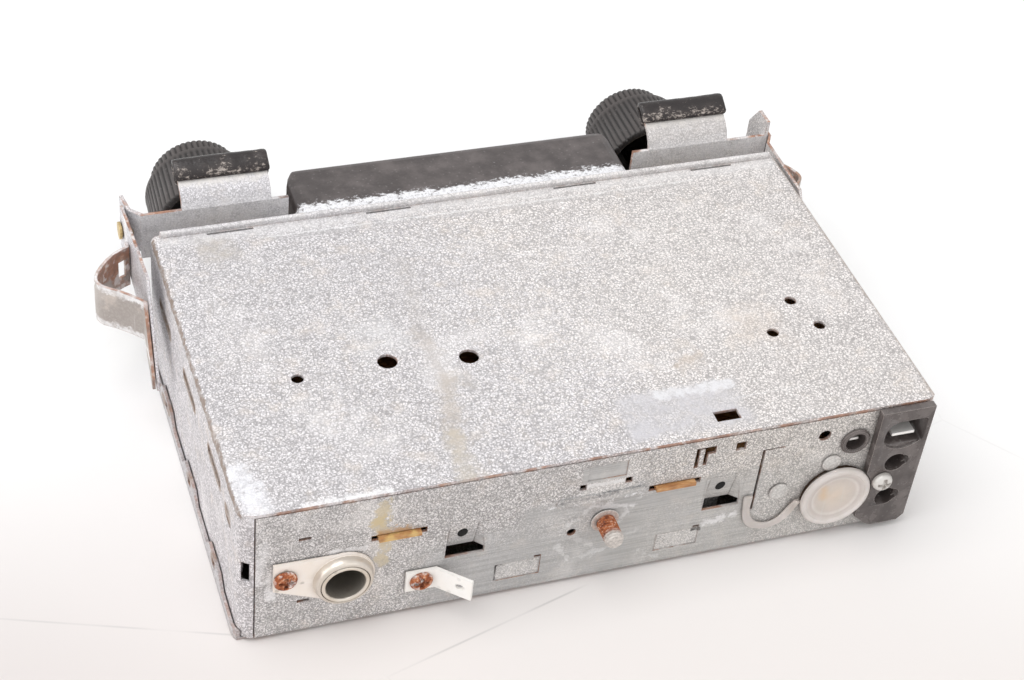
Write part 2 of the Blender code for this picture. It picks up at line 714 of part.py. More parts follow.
def make_rear_panel(zinc):
    """The rear sheet with its windows, slits, presses and sockets' openings."""
    through = (at(SHEET + OVERRUN), at(-OVERRUN))
    half_press = (at(PRESS_DEPTH), at(-OVERRUN))

    def hole(outline):
        return extruded(outline, "XZ", *through)

    def round_hole(radius, x, z, steps=16):
        return rod(radius, -OVERRUN, SHEET + OVERRUN, x, z, steps)

    sheet = box((-PANEL_HALF, at(SHEET), PANEL_BASE), (PANEL_HALF, at(0), PANEL_TOP))
    ridge = extruded(rounded(-RIDGE_LENGTH / 2, RIDGE_Z - RIDGE_HEIGHT / 2, RIDGE_LENGTH / 2,
                             RIDGE_Z + RIDGE_HEIGHT / 2, RIDGE_HEIGHT * 0.45, 3), "XZ",
                     at(SHEET / 2), at(-RIDGE_RISE))
    cuts = []
    for share in WINDOW_SHARES:
        cuts.append(hole(centred(across(share), WINDOW_Z + WINDOW_HEIGHT / 2, WINDOW_WIDTH,
                                 WINDOW_HEIGHT)))
    for share in BOARD_EAR_SHARES:
        cuts.append(hole(centred(across(share), BOARD_Z + BOARD_THICK / 2, BOARD_SLIT_WIDTH,
                                 BOARD_THICK + 2 * BOARD_SLIT_GAP)))
    for share in PRESS_SHARES:
        x = across(share)
        cuts.append(extruded(centred(x, PRESS_Z, PRESS_WIDTH, PRESS_HEIGHT), "XZ", *half_press))
        corner = PRESS_CORNER
        cuts.append(hole(centred(x - PRESS_WIDTH / 2 + corner / 2, PRESS_Z + PRESS_HEIGHT / 2
                                 + corner / 4, corner, corner / 2)))
    for side in (-1, 1):
        cuts.append(hole(centred(side * FRAME_PRESS_WIDTH / 2 - SEAM_WIDTH, FRAME_PRESS_Z
                                 - FRAME_PRESS_HEIGHT / 2, PRESS_CORNER, PRESS_CORNER)))
    cuts.append(extruded(centred(-SEAM_WIDTH, FRAME_PRESS_Z + PRESS_CORNER / 2, FRAME_PRESS_WIDTH
                                 - PRESS_CORNER, FRAME_PRESS_HEIGHT - PRESS_CORNER), "XZ",
                         *half_press))
    cuts.append(round_hole(PEEP_RADIUS, across(PEEP_SHARE), PEEP_Z, 12))
    x, leg = across(FORK_SHARE), FORK_LEG
    left, right = x + FORK_WIDTH / 2, x - FORK_WIDTH / 2
    high, low = FORK_Z + FORK_HEIGHT / 2, FORK_Z - FORK_HEIGHT / 2
    cuts.append(hole([(left, low), (left, high), (right, high), (right, high - 2.4 * leg),
                      (right + 2 * leg, high - 2.4 * leg), (right + 2 * leg, low + leg / 2),
                      (right + 3 * leg, low + leg / 2), (right + 3 * leg, high - leg / 2),
                      (left - leg, high - leg / 2), (left - leg, low)]))
    cuts.append(hole(centred(across(SQUARE_SHARE), SQUARE_Z, SQUARE_HOLE, SQUARE_HOLE)))
    x = across(SEAM_SHARE)
    cuts.append(hole([(x, SEAM_LOW), (x, SEAM_HIGH), (x - SEAM_RUN, SEAM_HIGH),
                      (x - SEAM_RUN, SEAM_HIGH - SEAM_WIDTH / 2),
                      (x - SEAM_WIDTH, SEAM_HIGH - SEAM_WIDTH / 2), (x - SEAM_WIDTH, SEAM_LOW)]))
    cuts.append(round_hole(ROUND_HOLE_RADIUS, across(ROUND_HOLE_SHARE), ROUND_HOLE_Z, 14))
    stop_x = AERIAL_X + AERIAL_TAIL_LENGTH * 0.55
    for side in (-1, 1):
        cuts.append(hole(centred(stop_x, AERIAL_Z + STOP_SLOT_MIDDLE + side * STOP_SLOT_RISE,
                                 STOP_SLOT_WIDTH, STOP_SLOT_HEIGHT)))
    cuts.append(round_hole(AERIAL_TUBE_RADIUS + FIT_GAP, AERIAL_X, AERIAL_Z))
    for x, z in ((*aerial_screw_place(),), (LUG_X, LUG_Z)):
        cuts.append(round_hole(SCREW_RADIUS + FIT_GAP, x, z, 12))
    cuts.append(round_hole(STUD_RADIUS + FIT_GAP, STUD_X, STUD_Z))
    cuts.append(round_hole(SOCKET_RADIUS - SOCKET_PROUD + FIT_GAP, SOCKET_X, SOCKET_Z))
    cuts.append(round_hole(TRIM_OPENING_RADIUS, TRIM_X, TRIM_Z, 32))
    for x, z in RIVET_PLACES:
        cuts.append(round_hole(RIVET_RADIUS * 0.6 + FIT_GAP, x, z, 12))
    cuts.append(hole(block_core_outline(FIT_GAP)))
    panel = assemble("rear_panel", zinc, sheet, adds=[ridge], cuts=cuts,
                     after=[window_tongue(share) for share in WINDOW_SHARES])
    tongue_depth = SHEET / 2 + TONGUE_LEAN * 0.3
    peeps = [rod(TONGUE_HOLE_RADIUS, -OVERRUN, tongue_depth + 2 * OVERRUN,
                 across(share) + WINDOW_WIDTH / 2 - FIT_GAP - TONGUE_WIDTH / 2,
                 WINDOW_Z + WINDOW_HEIGHT - TONGUE_DROP * 0.35, 12) for share in WINDOW_SHARES]
    add_boolean(panel, make_helper("rear_panel_peeps", joined(peeps)), "DIFFERENCE")


def make_front_chassis(zinc):
    """The front plate that the bushes stand in, with a rail down each side for the board."""
    face = BODY_DEPTH - FIT_GAP
    plate = extruded(body_section(INNER_HALF, PANEL_BASE, PANEL_TOP, EDGE_RADIUS), "XZ",
                     at(face), at(face - SHEET))
    rail_top = BOARD_Z - FIT_GAP
    rail_back = CORNER_RADIUS
    block_edge = BLOCK_INSIDE + SHEET + 2 * FIT_GAP
    rails = []
    for side, back in ((1, rail_back), (-1, block_edge)):
        wall = INNER_HALF
        section = [(wall, rail_top), (wall, rail_top - RAIL_HEIGHT),
                   (wall - SHEET, rail_top - RAIL_HEIGHT), (wall - SHEET, rail_top - SHEET),
                   (wall - RAIL_WIDTH, rail_top - SHEET), (wall - RAIL_WIDTH, rail_top)]
        section = [(side * a, b) for a, b in section]
        rails.append(extruded(section, "XZ", at(face - SHEET / 2), at(back)))
    cuts = [rod(BUSH_RADIUS + FIT_GAP, face - SHEET - OVERRUN, face + OVERRUN,
                side * SHAFT_X, SHAFT_Z) for side in (-1, 1)]
    half = NOSE_WIDTH / 2 - 3 * NOSE_WALL
    cuts.append(extruded(rectangle(-half, NOSE_BOTTOM + 3 * NOSE_WALL, half,
                                   NOSE_TOP - 3 * NOSE_WALL), "XZ",
                         at(face + OVERRUN), at(face - SHEET - OVERRUN)))
    assemble("front_chassis", zinc, plate, adds=rails, cuts=cuts)


def make_circuit_board(pertinax):
    """The board, with the two ears that hold it in the rear panel's slits."""
    high_x = -BLOCK_INNER_X - BLOCK_WALL
    rear = SHEET + FIT_GAP
    left = INNER_HALF - SHEET - FIT_GAP
    right = -INNER_HALF + SHEET + FIT_GAP
    notch_depth = BLOCK_INSIDE + SHEET + 2 * FIT_GAP
    notch_x = high_x + 2 * FIT_GAP
    corner = CORNER_RADIUS - SHEET
    outline = [(left - corner, at(rear)), (left, at(rear + corner)), (left, at(BOARD_DEPTH)),
               (right, at(BOARD_DEPTH)),
               (right, at(notch_depth)), (notch_x, at(notch_depth)), (notch_x, at(rear))]
    ears = []
    for share in BOARD_EAR_SHARES:
        x, half = across(share), BOARD_EAR_WIDTH / 2
        ears.append(box((x - half, at(2 * rear), BOARD_Z),
                        (x + half, at(-BOARD_EAR_REACH), BOARD_Z + BOARD_THICK)))
    socket_half = SOCKET_RADIUS + FIT_GAP
    cut = box((SOCKET_X - socket_half, at(SOCKET_DEEP + FIT_GAP), BOARD_Z - OVERRUN),
              (SOCKET_X + socket_half, at(-OVERRUN), BOARD_Z + BOARD_THICK + OVERRUN))
    assemble("circuit_board", pertinax, extruded(outline, "XY", BOARD_Z, BOARD_Z + BOARD_THICK),
             adds=ears, cuts=[cut])


def aerial_screw_place():
    """Where the aerial socket's screw stands, on the plate's tail."""
    reach = AERIAL_TAIL_LENGTH - AERIAL_SCREW_SETBACK
    rise = AERIAL_TAIL_RISE * reach / AERIAL_TAIL_LENGTH
    return AERIAL_X + reach, AERIAL_Z + rise


def make_aerial_socket(tin, plastic):
    """Teardrop plate with a drawn collar, its tube, the insulator and the centre contact."""
    tail_x = AERIAL_X + AERIAL_TAIL_LENGTH
    tail_z = AERIAL_Z + AERIAL_TAIL_RISE
    half = AERIAL_TAIL_HEIGHT / 2
    teardrop = [(tail_x, tail_z + half), *arc((AERIAL_X, AERIAL_Z), AERIAL_PLATE_RADIUS, 78, 270, 18),
                *arc((AERIAL_X, AERIAL_Z), AERIAL_PLATE_RADIUS, 276, 288, 2), (tail_x, tail_z - half)]
    seat = -FIT_GAP
    plate = extruded(teardrop, "XZ", at(seat), at(seat - SHEET))
    bore = AERIAL_TUBE_RADIUS + FIT_GAP
    foot = AERIAL_PLATE_RADIUS - FIT_GAP
    rise = AERIAL_COLLAR_RISE
    collar = turned([(bore - FIT_GAP / 2, seat - SHEET / 2), (foot, seat - SHEET / 2), (foot, seat - SHEET),
                     (foot - SHEET, seat - SHEET - rise * 0.6),
                     (bore + SHEET * 0.7, seat - SHEET - rise),
                     (bore - FIT_GAP / 2, seat - SHEET - rise)], AERIAL_X, AERIAL_Z, 32)
    hole = rod(bore, -OVERRUN * 3, OVERRUN, AERIAL_X, AERIAL_Z)
    x, z = aerial_screw_place()
    screw_hole = rod(SCREW_RADIUS + FIT_GAP, -OVERRUN, OVERRUN, x, z, 12)
    assemble("aerial_plate", tin, plate, adds=[collar], cuts=[hole, screw_hole])
    rim = AERIAL_REACH
    wall = AERIAL_TUBE_RADIUS - AERIAL_BORE_RADIUS
    barrel = turned([(AERIAL_BORE_RADIUS, -rim + wall * 0.5), (AERIAL_BORE_RADIUS + wall * 0.5, -rim),
                     (AERIAL_TUBE_RADIUS, -rim + wall * 0.4), (AERIAL_TUBE_RADIUS, AERIAL_INSIDE),
                     (AERIAL_BORE_RADIUS, AERIAL_INSIDE)], AERIAL_X, AERIAL_Z, 28)
    assemble("aerial_tube", tin, barrel)
    plug_radius = AERIAL_BORE_RADIUS - FIT_GAP
    contact_bore = AERIAL_CONTACT_RADIUS + FIT_GAP
    disc_front = AERIAL_INSIDE - FIT_GAP
    assemble("aerial_insulator", plastic,
             tube(plug_radius, contact_bore, disc_front - AERIAL_CONTACT_LENGTH / 2, disc_front,
                  AERIAL_X, AERIAL_Z))
    head = disc_front - AERIAL_CONTACT_LENGTH
    assemble("aerial_contact", tin,
             tube(AERIAL_CONTACT_RADIUS, AERIAL_CONTACT_RADIUS * 0.55, head,
                  disc_front + AERIAL_CONTACT_LENGTH * 0.3, AERIAL_X, AERIAL_Z, 16))


def make_screw(name, material, x, z, seat, head_radius, head_height):
    """A pan-head screw with a cross recess; seat is the depth of the head's underside."""
    top = seat - head_height
    profile = [(0, seat + SCREW_LENGTH), (SCREW_RADIUS, seat + SCREW_LENGTH), (SCREW_RADIUS, seat),
               (head_radius, seat), (head_radius, seat - head_height * 0.45),
               (head_radius * 0.72, top + head_height * 0.1), (0, top)]
    length, width, deep = CROSS_LENGTH, CROSS_WIDTH, CROSS_DEPTH
    flat = (at(top + deep), at(top - OVERRUN))
    plus = [(-width / 2, -length / 2), (width / 2, -length / 2), (width / 2, -width / 2),
            (length / 2, -width / 2), (length / 2, width / 2), (width / 2, width / 2),
            (width / 2, length / 2), (-width / 2, length / 2), (-width / 2, width / 2),
            (-length / 2, width / 2), (-length / 2, -width / 2), (-width / 2, -width / 2)]
    recess = extruded([(x + a, z + b) for a, b in plus], "XZ", *flat)
    assemble(name, material, turned(profile, x, z, 20), cuts=[recess])


def make_earth_lug(tin):
    """A spade blade bent out from its riveted base."""
    seat = -FIT_GAP
    left = LUG_X + LUG_BASE_LENGTH / 2
    bend = LUG_X - LUG_BASE_LENGTH / 2
    run = Vector((-math.cos(LUG_BLADE_ANGLE), math.sin(LUG_BLADE_ANGLE)))
    tip = Vector((bend, at(seat))) + run * LUG_BLADE_LENGTH
    path = [(left, at(seat)), (bend, at(seat)), tuple(tip)]
    outline = strip_outline(path, -SHEET)
    half = LUG_HEIGHT / 2
    lug = extruded(outline, "XY", LUG_Z - half, LUG_Z + half)
    cut_x = LUG_CHAMFER
    reach = LUG_BLADE_LENGTH
    corners = []
    for side in (-1, 1):
        edge = LUG_Z + side * half
        wedge = [(tip.x - cut_x, edge + side * cut_x), (tip.x + cut_x, edge + side * cut_x),
                 (tip.x - cut_x, edge - side * cut_x)]
        corners.append(extruded(wedge, "XZ", tip.y - reach, tip.y + reach))
    blade_middle = Vector((bend, at(seat))) + run * LUG_BLADE_LENGTH * 0.62
    peep = rod(LUG_HOLE_RADIUS, -2 * LUG_BLADE_LENGTH, OVERRUN, blade_middle.x, LUG_Z, 12)
    screw_hole = rod(SCREW_RADIUS + FIT_GAP, -OVERRUN, OVERRUN, LUG_X, LUG_Z, 12)
    assemble("earth_lug", tin, lug, cuts=[*corners, peep, screw_hole])


def make_rear_stud(steel):
    """The threaded rest that props the radio's back in the dashboard."""
    seat = -FIT_GAP
    flange = seat - STUD_FLANGE_HEIGHT
    chamfer = STUD_RADIUS * 0.2
    profile = [(0, STUD_ROOT), (STUD_RADIUS, STUD_ROOT), (STUD_RADIUS, seat),
               (STUD_FLANGE_RADIUS, seat), (STUD_FLANGE_RADIUS, flange), (STUD_RADIUS, flange),
               (STUD_RADIUS, chamfer - STUD_LENGTH), (STUD_RADIUS - chamfer, -STUD_LENGTH),
               (0, -STUD_LENGTH)]
    assemble("rear_stud", steel, turned(profile, STUD_X, STUD_Z, 20))


def block_core_outline(gap):
    """The block's body seen from behind, narrowed beside the trimmer, with room around it."""
    low_x, high_x = -BLOCK_CORE_X, -BLOCK_INNER_X - BLOCK_WALL
    step_x = TRIM_X - TRIM_OPENING_RADIUS - BLOCK_WEB
    step_z = TRIM_Z + TRIM_OPENING_RADIUS + BLOCK_WEB
    return [(low_x - gap, BLOCK_FOOT_CUT - gap), (step_x + gap, BLOCK_FOOT_CUT - gap),
            (step_x + gap, step_z - gap), (high_x + gap, step_z - gap),
            (high_x + gap, BLOCK_CORE_TOP + gap), (low_x - gap, BLOCK_CORE_TOP + gap)]


def block_socket_x():
    """The line on which the block's sockets stand."""
    return -(BLOCK_OUTER_X + BLOCK_INNER_X) / 2


def power_outline():
    """The supply recess: square on its outer side and rounded towards the trimmer."""
    outer, inner, low, high = -POWER_OUTER_X, -POWER_INNER_X, POWER_LOW, POWER_HIGH
    wide, tight = POWER_ROUND, POWER_CORNER
    foot = wide / 2
    points = arc((inner - wide, high - wide), wide, 0, 90, 5)
    points += arc((outer + tight, high - tight), tight, 90, 180, 2)
    points += arc((outer + tight, low + tight), tight, 180, 270, 2)
    return points + arc((inner - foot, low + foot), foot, 270, 360, 3)


def ledge_outline():
    """The shallow round step under the supply recess."""
    half = (POWER_OUTER_X - POWER_INNER_X) / 2 - POWER_CORNER
    radius = (half * half + POWER_LEDGE * POWER_LEDGE) / (2 * POWER_LEDGE)
    reach = math.degrees(math.asin(half / radius))
    middle = -(POWER_OUTER_X + POWER_INNER_X) / 2
    points = arc((middle, POWER_LOW - POWER_LEDGE + radius), radius, 270 - reach, 270 + reach, 8)
    return points + [(middle + half, POWER_LOW + POWER_LEDGE), (middle - half, POWER_LOW + POWER_LEDGE)]


def make_connector_block(bakelite, steel):
    """The supply and loudspeaker sockets in one black moulding."""
    low_x, high_x = -BLOCK_OUTER_X, -BLOCK_INNER_X
    seat = -FIT_GAP
    face = seat - BLOCK_PROUD
    top, bottom, cham = BLOCK_TOP, BLOCK_BOTTOM, BLOCK_CHAMFER
    flange = [(high_x, bottom + BLOCK_FOOT_CUT), (high_x, top), (low_x, top),
              (low_x, bottom + cham), (low_x + cham, bottom), (high_x - 3 * cham, bottom),
              (high_x - 2 * cham, bottom + cham / 2)]
    base = extruded(flange, "XZ", at(seat), at(face))
    core = extruded(block_core_outline(0), "XZ", at(BLOCK_INSIDE), at(seat - BLOCK_PROUD / 2))
    x = block_socket_x()
    cuts = [extruded(power_outline(), "XZ", at(face + POWER_DEEP), at(face - OVERRUN)),
            extruded(ledge_outline(), "XZ", at(face + POWER_SHALLOW), at(face - OVERRUN)),
            rod(CAP_RADIUS + FIT_GAP, face - OVERRUN, -seat, TRIM_X, TRIM_Z, 36)]
    keys = []
    for z in SPEAKER_Z:
        cuts.append(rod(SPEAKER_RADIUS, face - OVERRUN, face + SPEAKER_DEEP, x, z, 20))
        keys.append(rod(SPEAKER_KEY_RADIUS, face - OVERRUN, face + SPEAKER_KEY_DEEP,
                        x - SPEAKER_KEY_OFFSET, z + FIT_GAP, 14))
    screw_x = high_x - BLOCK_SCREW_INSET
    cuts.append(rod(SCREW_RADIUS + FIT_GAP, face - OVERRUN, face + SCREW_LENGTH + FIT_GAP,
                    screw_x, BLOCK_SCREW_Z, 12))
    block = assemble("connector_block", bakelite, base, adds=[core], cuts=cuts)
    add_boolean(block, make_helper("connector_block_keys", joined(keys)), "DIFFERENCE")
    make_screw("connector_screw", steel, screw_x, BLOCK_SCREW_Z, face - FIT_GAP,
               PAN_HEAD_RADIUS * 0.93, PAN_HEAD_HEIGHT * 1.3)
    blade_back = face + POWER_DEEP - FIT_GAP
    half = BLADE_WIDTH / 2
    blade_z = (POWER_LOW + POWER_HIGH) / 2 - BLADE_DROP
    assemble("power_blade", steel, box((x - half, at(blade_back), blade_z),
                                       (x + half, at(face + FIT_GAP), blade_z + BLADE_THICK)))


def make_panel_socket(bakelite, steel):
    """The small round socket beside the connector block, with its flat pin."""
    seat = -FIT_GAP
    neck = SOCKET_RADIUS - SOCKET_PROUD
    profile = [(SOCKET_BORE_RADIUS, seat - SOCKET_PROUD), (SOCKET_RADIUS, seat - SOCKET_PROUD),
               (SOCKET_RADIUS, seat), (neck, seat), (neck, SOCKET_DEEP), (0, SOCKET_DEEP),
               (0, SOCKET_DEEP - SHEET), (SOCKET_BORE_RADIUS, SOCKET_DEEP - SHEET)]
    assemble("panel_socket", bakelite, turned(profile, SOCKET_X, SOCKET_Z, 24))
    back = SOCKET_DEEP - SHEET - FIT_GAP
    assemble("socket_pin", steel,
             box((SOCKET_X - PIN_WIDTH / 2, at(back), SOCKET_Z - PIN_THICK / 2),
                 (SOCKET_X + PIN_WIDTH / 2, at(seat + SHEET), SOCKET_Z + PIN_THICK / 2)))


def make_trimmer(plastic, brass, polythene):
    """The trimmer cup behind the panel, its slotted screw, and the tethered cap over it."""
    back = SHEET + FIT_GAP
    screw_back = back + TRIM_CUP_DEEP - TRIM_CUP_WALL - FIT_GAP
    cup_bore = TRIM_CUP_RADIUS - TRIM_CUP_WALL
    assemble("trimmer_cup", plastic, turned(
        [(cup_bore, back), (TRIM_OPENING_RADIUS + TRIM_CUP_WALL / 2, back),
         (TRIM_OPENING_RADIUS + TRIM_CUP_WALL / 2, back + TRIM_CUP_WALL),
         (TRIM_CUP_RADIUS, back + TRIM_CUP_WALL), (TRIM_CUP_RADIUS, back + TRIM_CUP_DEEP),
         (0, back + TRIM_CUP_DEEP), (0, back + TRIM_CUP_DEEP - TRIM_CUP_WALL),
         (cup_bore, back + TRIM_CUP_DEEP - TRIM_CUP_WALL)], TRIM_X, TRIM_Z, 28))
    head = screw_back - TRIM_SCREW_LENGTH
    slot = extruded(centred(TRIM_X, TRIM_Z, TRIM_SCREW_RADIUS * 2.2, CROSS_WIDTH * 1.4), "XZ",
                    at(head + CROSS_DEPTH), at(head - OVERRUN))
    assemble("trimmer_screw", brass,
             rod(TRIM_SCREW_RADIUS, head, screw_back, TRIM_X, TRIM_Z, 20), cuts=[slot],
             origin=(TRIM_X, at(head), TRIM_Z))
    seat = -CAP_SEAT
    face = seat - CAP_THICK
    bead = CAP_BEAD_WIDTH
    spigot = cup_bore - FIT_GAP
    profile = [(0, seat), (spigot - TRIM_CUP_WALL, seat), (spigot - TRIM_CUP_WALL, CAP_SPIGOT),
               (spigot, CAP_SPIGOT), (spigot, seat), (CAP_RADIUS, seat),
               (CAP_RADIUS, face - CAP_BEAD * 0.4),
               (CAP_RADIUS - bead * 0.3, face - CAP_BEAD), (CAP_RADIUS - bead * 0.8, face - CAP_BEAD),
               (CAP_RADIUS - bead, face), (CAP_RADIUS - 2.2 * bead, face),
               (CAP_RADIUS - 2.4 * bead, face + CAP_BEAD * 0.4), (0, face + CAP_BEAD * 0.4)]
    assemble("trimmer_cap", polythene, turned(profile, TRIM_X, TRIM_Z, 36),
             origin=(TRIM_X, at(seat), TRIM_Z))
    end_x = TRIM_X + CAP_RADIUS + 3 * FIT_GAP
    low_z = TRIM_Z - STRAP_DROP
    route = [(end_x + a * STRAP_SPAN, low_z + b * STRAP_RISE) for a, b in STRAP_SHARES]
    outline = strip_outline(smooth_path(route, 3), STRAP_WIDTH)
    panel_seat = -FIT_GAP
    strap = extruded(outline, "XZ", at(panel_seat), at(panel_seat - STRAP_THICK))
    for vert in strap.verts:
        along = min(1, max(0, (end_x + STRAP_SPAN - vert.co.x) / STRAP_SPAN))
        vert.co.y += (panel_seat - seat) * along * along * (3 - 2 * along)
    assemble("cap_strap", polythene, strap)


def make_panel_rivets(zinc):
    """The two clinched rivets beside the trimmer."""
    seat = -FIT_GAP
    for number, (x, z) in enumerate(RIVET_PLACES, 1):
        shank = RIVET_RADIUS * 0.6
        profile = [(0, SHEET + FIT_GAP), (shank, SHEET + FIT_GAP), (shank, seat),
                   (RIVET_RADIUS, seat), (RIVET_RADIUS, seat - RIVET_HEIGHT * 0.5),
                   (RIVET_RADIUS * 0.8, seat - RIVET_HEIGHT), (0, seat - RIVET_HEIGHT * 0.8)]
        assemble(f"panel_rivet_{number}", zinc, turned(profile, x, z, 18))


def make_shaft_line(side, label, control, names, steel, brass, black):
    """One side's bush, nut, sleeve, shaft, ring and knob, all on the shaft's axis."""
    x, z = side * SHAFT_X, SHAFT_Z
    axis = (x, at(BODY_DEPTH), z)
    shoulder_rear = BODY_DEPTH
    shoulder_front = BRACKET_DEPTH - FIT_GAP
    thread_end = BRACKET_FACE_DEPTH + THREAD_LENGTH
    rear = BODY_DEPTH - BUSH_REAR
    bush = turned([(BUSH_BORE_RADIUS, rear), (BUSH_RADIUS, rear), (BUSH_RADIUS, shoulder_rear),
                   (BUSH_SHOULDER_RADIUS, shoulder_rear), (BUSH_SHOULDER_RADIUS, shoulder_front),
                   (BUSH_RADIUS, shoulder_front), (BUSH_RADIUS, thread_end),
                   (BUSH_BORE_RADIUS, thread_end)], x, z)
    assemble(f"shaft_bush_{label}", brass, bush)
    nut_rear = BRACKET_FACE_DEPTH + FIT_GAP
    nut = rod(NUT_RADIUS, nut_rear, nut_rear + NUT_HEIGHT, x, z, 6)
    bore = rod(BUSH_RADIUS + FIT_GAP, nut_rear - OVERRUN, nut_rear + NUT_HEIGHT + OVERRUN, x, z)
    assemble(f"shaft_nut_{label}", steel, nut, cuts=[bore])

    shaft_name, sleeve_name, ring_name, knob_name = names
    sleeve_rear = rear + FIT_GAP
    ring_front = RING_DEPTH + RING_LENGTH
    sleeve_front = ring_front - RING_WALL - FIT_GAP
    assemble(sleeve_name, brass, tube(SLEEVE_RADIUS, SLEEVE_BORE_RADIUS, sleeve_rear, sleeve_front, x, z, 20),
             origin=axis)
    make_ring(ring_name, black, x, z, ring_front, axis)
    shaft_front = KNOB_DEPTH + KNOB_BORE_DEPTH - FIT_GAP
    shaft_rear = rear - FIT_GAP - CONTROL_LENGTH * 0.6
    profile = [(0, shaft_rear), (SHAFT_RADIUS, shaft_rear), (SHAFT_RADIUS, shaft_front),
               (0, shaft_front)]
    adds = []
    if control == "drum":
        drum_front = rear - 2 * FIT_GAP
        groove = DRUM_RADIUS - DRUM_WIDTH * 0.25
        adds.append(turned([(0, drum_front - DRUM_WIDTH), (DRUM_RADIUS, drum_front - DRUM_WIDTH),
                            (DRUM_RADIUS, drum_front - DRUM_WIDTH * 0.75),
                            (groove, drum_front - DRUM_WIDTH / 2),
                            (DRUM_RADIUS, drum_front - DRUM_WIDTH * 0.25),
                            (DRUM_RADIUS, drum_front), (0, drum_front)], x, z, 32))
    assemble(shaft_name, steel, turned(profile, x, z, 16), adds=adds, origin=axis)
    make_knob(knob_name, black, x, z, axis)


def make_ring(name, black, x, z, front, axis):
    """The rear, outer ring of a knob pair: a ribbed cup with a hub on the sleeve."""
    outer = turned([(0, RING_DEPTH), (RING_REAR_RADIUS - RIB_DEPTH, RING_DEPTH),
                    (RING_REAR_RADIUS, RING_DEPTH + KNOB_CHAMFER),
                    (RING_FRONT_RADIUS, front - KNOB_CHAMFER),
                    (RING_FRONT_RADIUS - KNOB_CHAMFER, front), (0, front)], x, z, 2 * RING_RIBS,
                   ribs=(2, 3))
    cavity_front = front - RING_WALL
    cavity = turned([(RING_HUB_RADIUS, RING_DEPTH - OVERRUN),
                     (RING_REAR_RADIUS - RING_WALL, RING_DEPTH - OVERRUN),
                     (RING_FRONT_RADIUS - RING_WALL, cavity_front),
                     (RING_HUB_RADIUS, cavity_front)], x, z, 32)
    hub_back = RING_DEPTH + RING_WALL
    trim = rod(RING_HUB_RADIUS + FIT_GAP, RING_DEPTH - OVERRUN, hub_back, x, z)
    bore = rod(SLEEVE_RADIUS + FIT_GAP, RING_DEPTH - OVERRUN, front - RING_WALL, x, z, 20)
    neck = rod(SHAFT_RADIUS + 2 * FIT_GAP, RING_DEPTH - OVERRUN, front + OVERRUN, x, z, 16)
    ring = assemble(name, black, outer, cuts=[cavity], origin=axis)
    for label, shape in (("trim", trim), ("bore", bore), ("neck", neck)):
        add_boolean(ring, make_helper(f"{name}_{label}", shape), "DIFFERENCE")


def make_knob(name, black, x, z, axis):
    """The front knob of a pair: ribbed edge, dished face and a blind bore for the shaft."""
    front = FRONT_DEPTH
    face = KNOB_RADIUS - KNOB_RIM
    shape = turned([(0, KNOB_DEPTH), (KNOB_RADIUS - RIB_DEPTH, KNOB_DEPTH),
                    (KNOB_RADIUS, KNOB_DEPTH + KNOB_CHAMFER), (KNOB_RADIUS, front - KNOB_CHAMFER),
                    (KNOB_RADIUS - KNOB_CHAMFER, front), (face, front),
                    (face - KNOB_DISH, front - KNOB_DISH), (0, front - KNOB_DISH)], x, z,
                   2 * KNOB_RIBS, ribs=(2, 3))
    bore = rod(SHAFT_RADIUS + FIT_GAP, KNOB_DEPTH - OVERRUN, KNOB_DEPTH + KNOB_BORE_DEPTH, x, z, 16)
    assemble(name, black, shape, cuts=[bore], origin=axis)


def make_volume_control(plastic):
    """The volume control's drum, behind the chassis on the left shaft."""
    front = BODY_DEPTH - BUSH_REAR - FIT_GAP
    shape = turned([(SHAFT_RADIUS + FIT_GAP, front - CONTROL_LENGTH), (CONTROL_RADIUS, front
                                                                       - CONTROL_LENGTH),
                    (CONTROL_RADIUS, front), (SHAFT_RADIUS + FIT_GAP, front)],
                   -SHAFT_X, SHAFT_Z)
    assemble("volume_control", plastic, shape)


def bracket_outline(side):
    """The bracket's plate seen from behind, from the nosepiece out to the ear."""
    corner = BRACKET_CORNER
    strip_low = BRACKET_TOP - BRACKET_STRIP
    outer = EAR_BEND[0][0] if side > 0 else BRACKET_OUTER_X
    points = [(BRACKET_INNER_X, BRACKET_TOP), (BRACKET_INNER_X, BRACKET_FOOT + corner),
              *arc((BRACKET_INNER_X + corner, BRACKET_FOOT + corner), corner, 200, 270, 3),
              *arc((BRACKET_SHOULDER_X - corner, BRACKET_FOOT + corner), corner, 270, 360, 4),
              *arc((BRACKET_SHOULDER_X + corner, strip_low - corner), corner, 180, 90, 4),
              (outer, strip_low), (outer, BRACKET_TOP)]
    return [(side * a, b) for a, b in points]


def tab_profile():
    """The tab's rear face from the plate's top edge: up, and bent over towards the front."""
    path = [(BRACKET_DEPTH, BRACKET_TOP - BRACKET_SHEET)]
    path += [(BRACKET_DEPTH + ahead, BRACKET_TOP + rise) for ahead, rise in TAB_CURVE]
    bend_depth, bend_z = path[-1]
    path.append((bend_depth + TAB_END_LENGTH * math.cos(TAB_END_ANGLE),
                 bend_z + TAB_END_LENGTH * math.sin(TAB_END_ANGLE)))
    return [(at(depth), z) for depth, z in path]


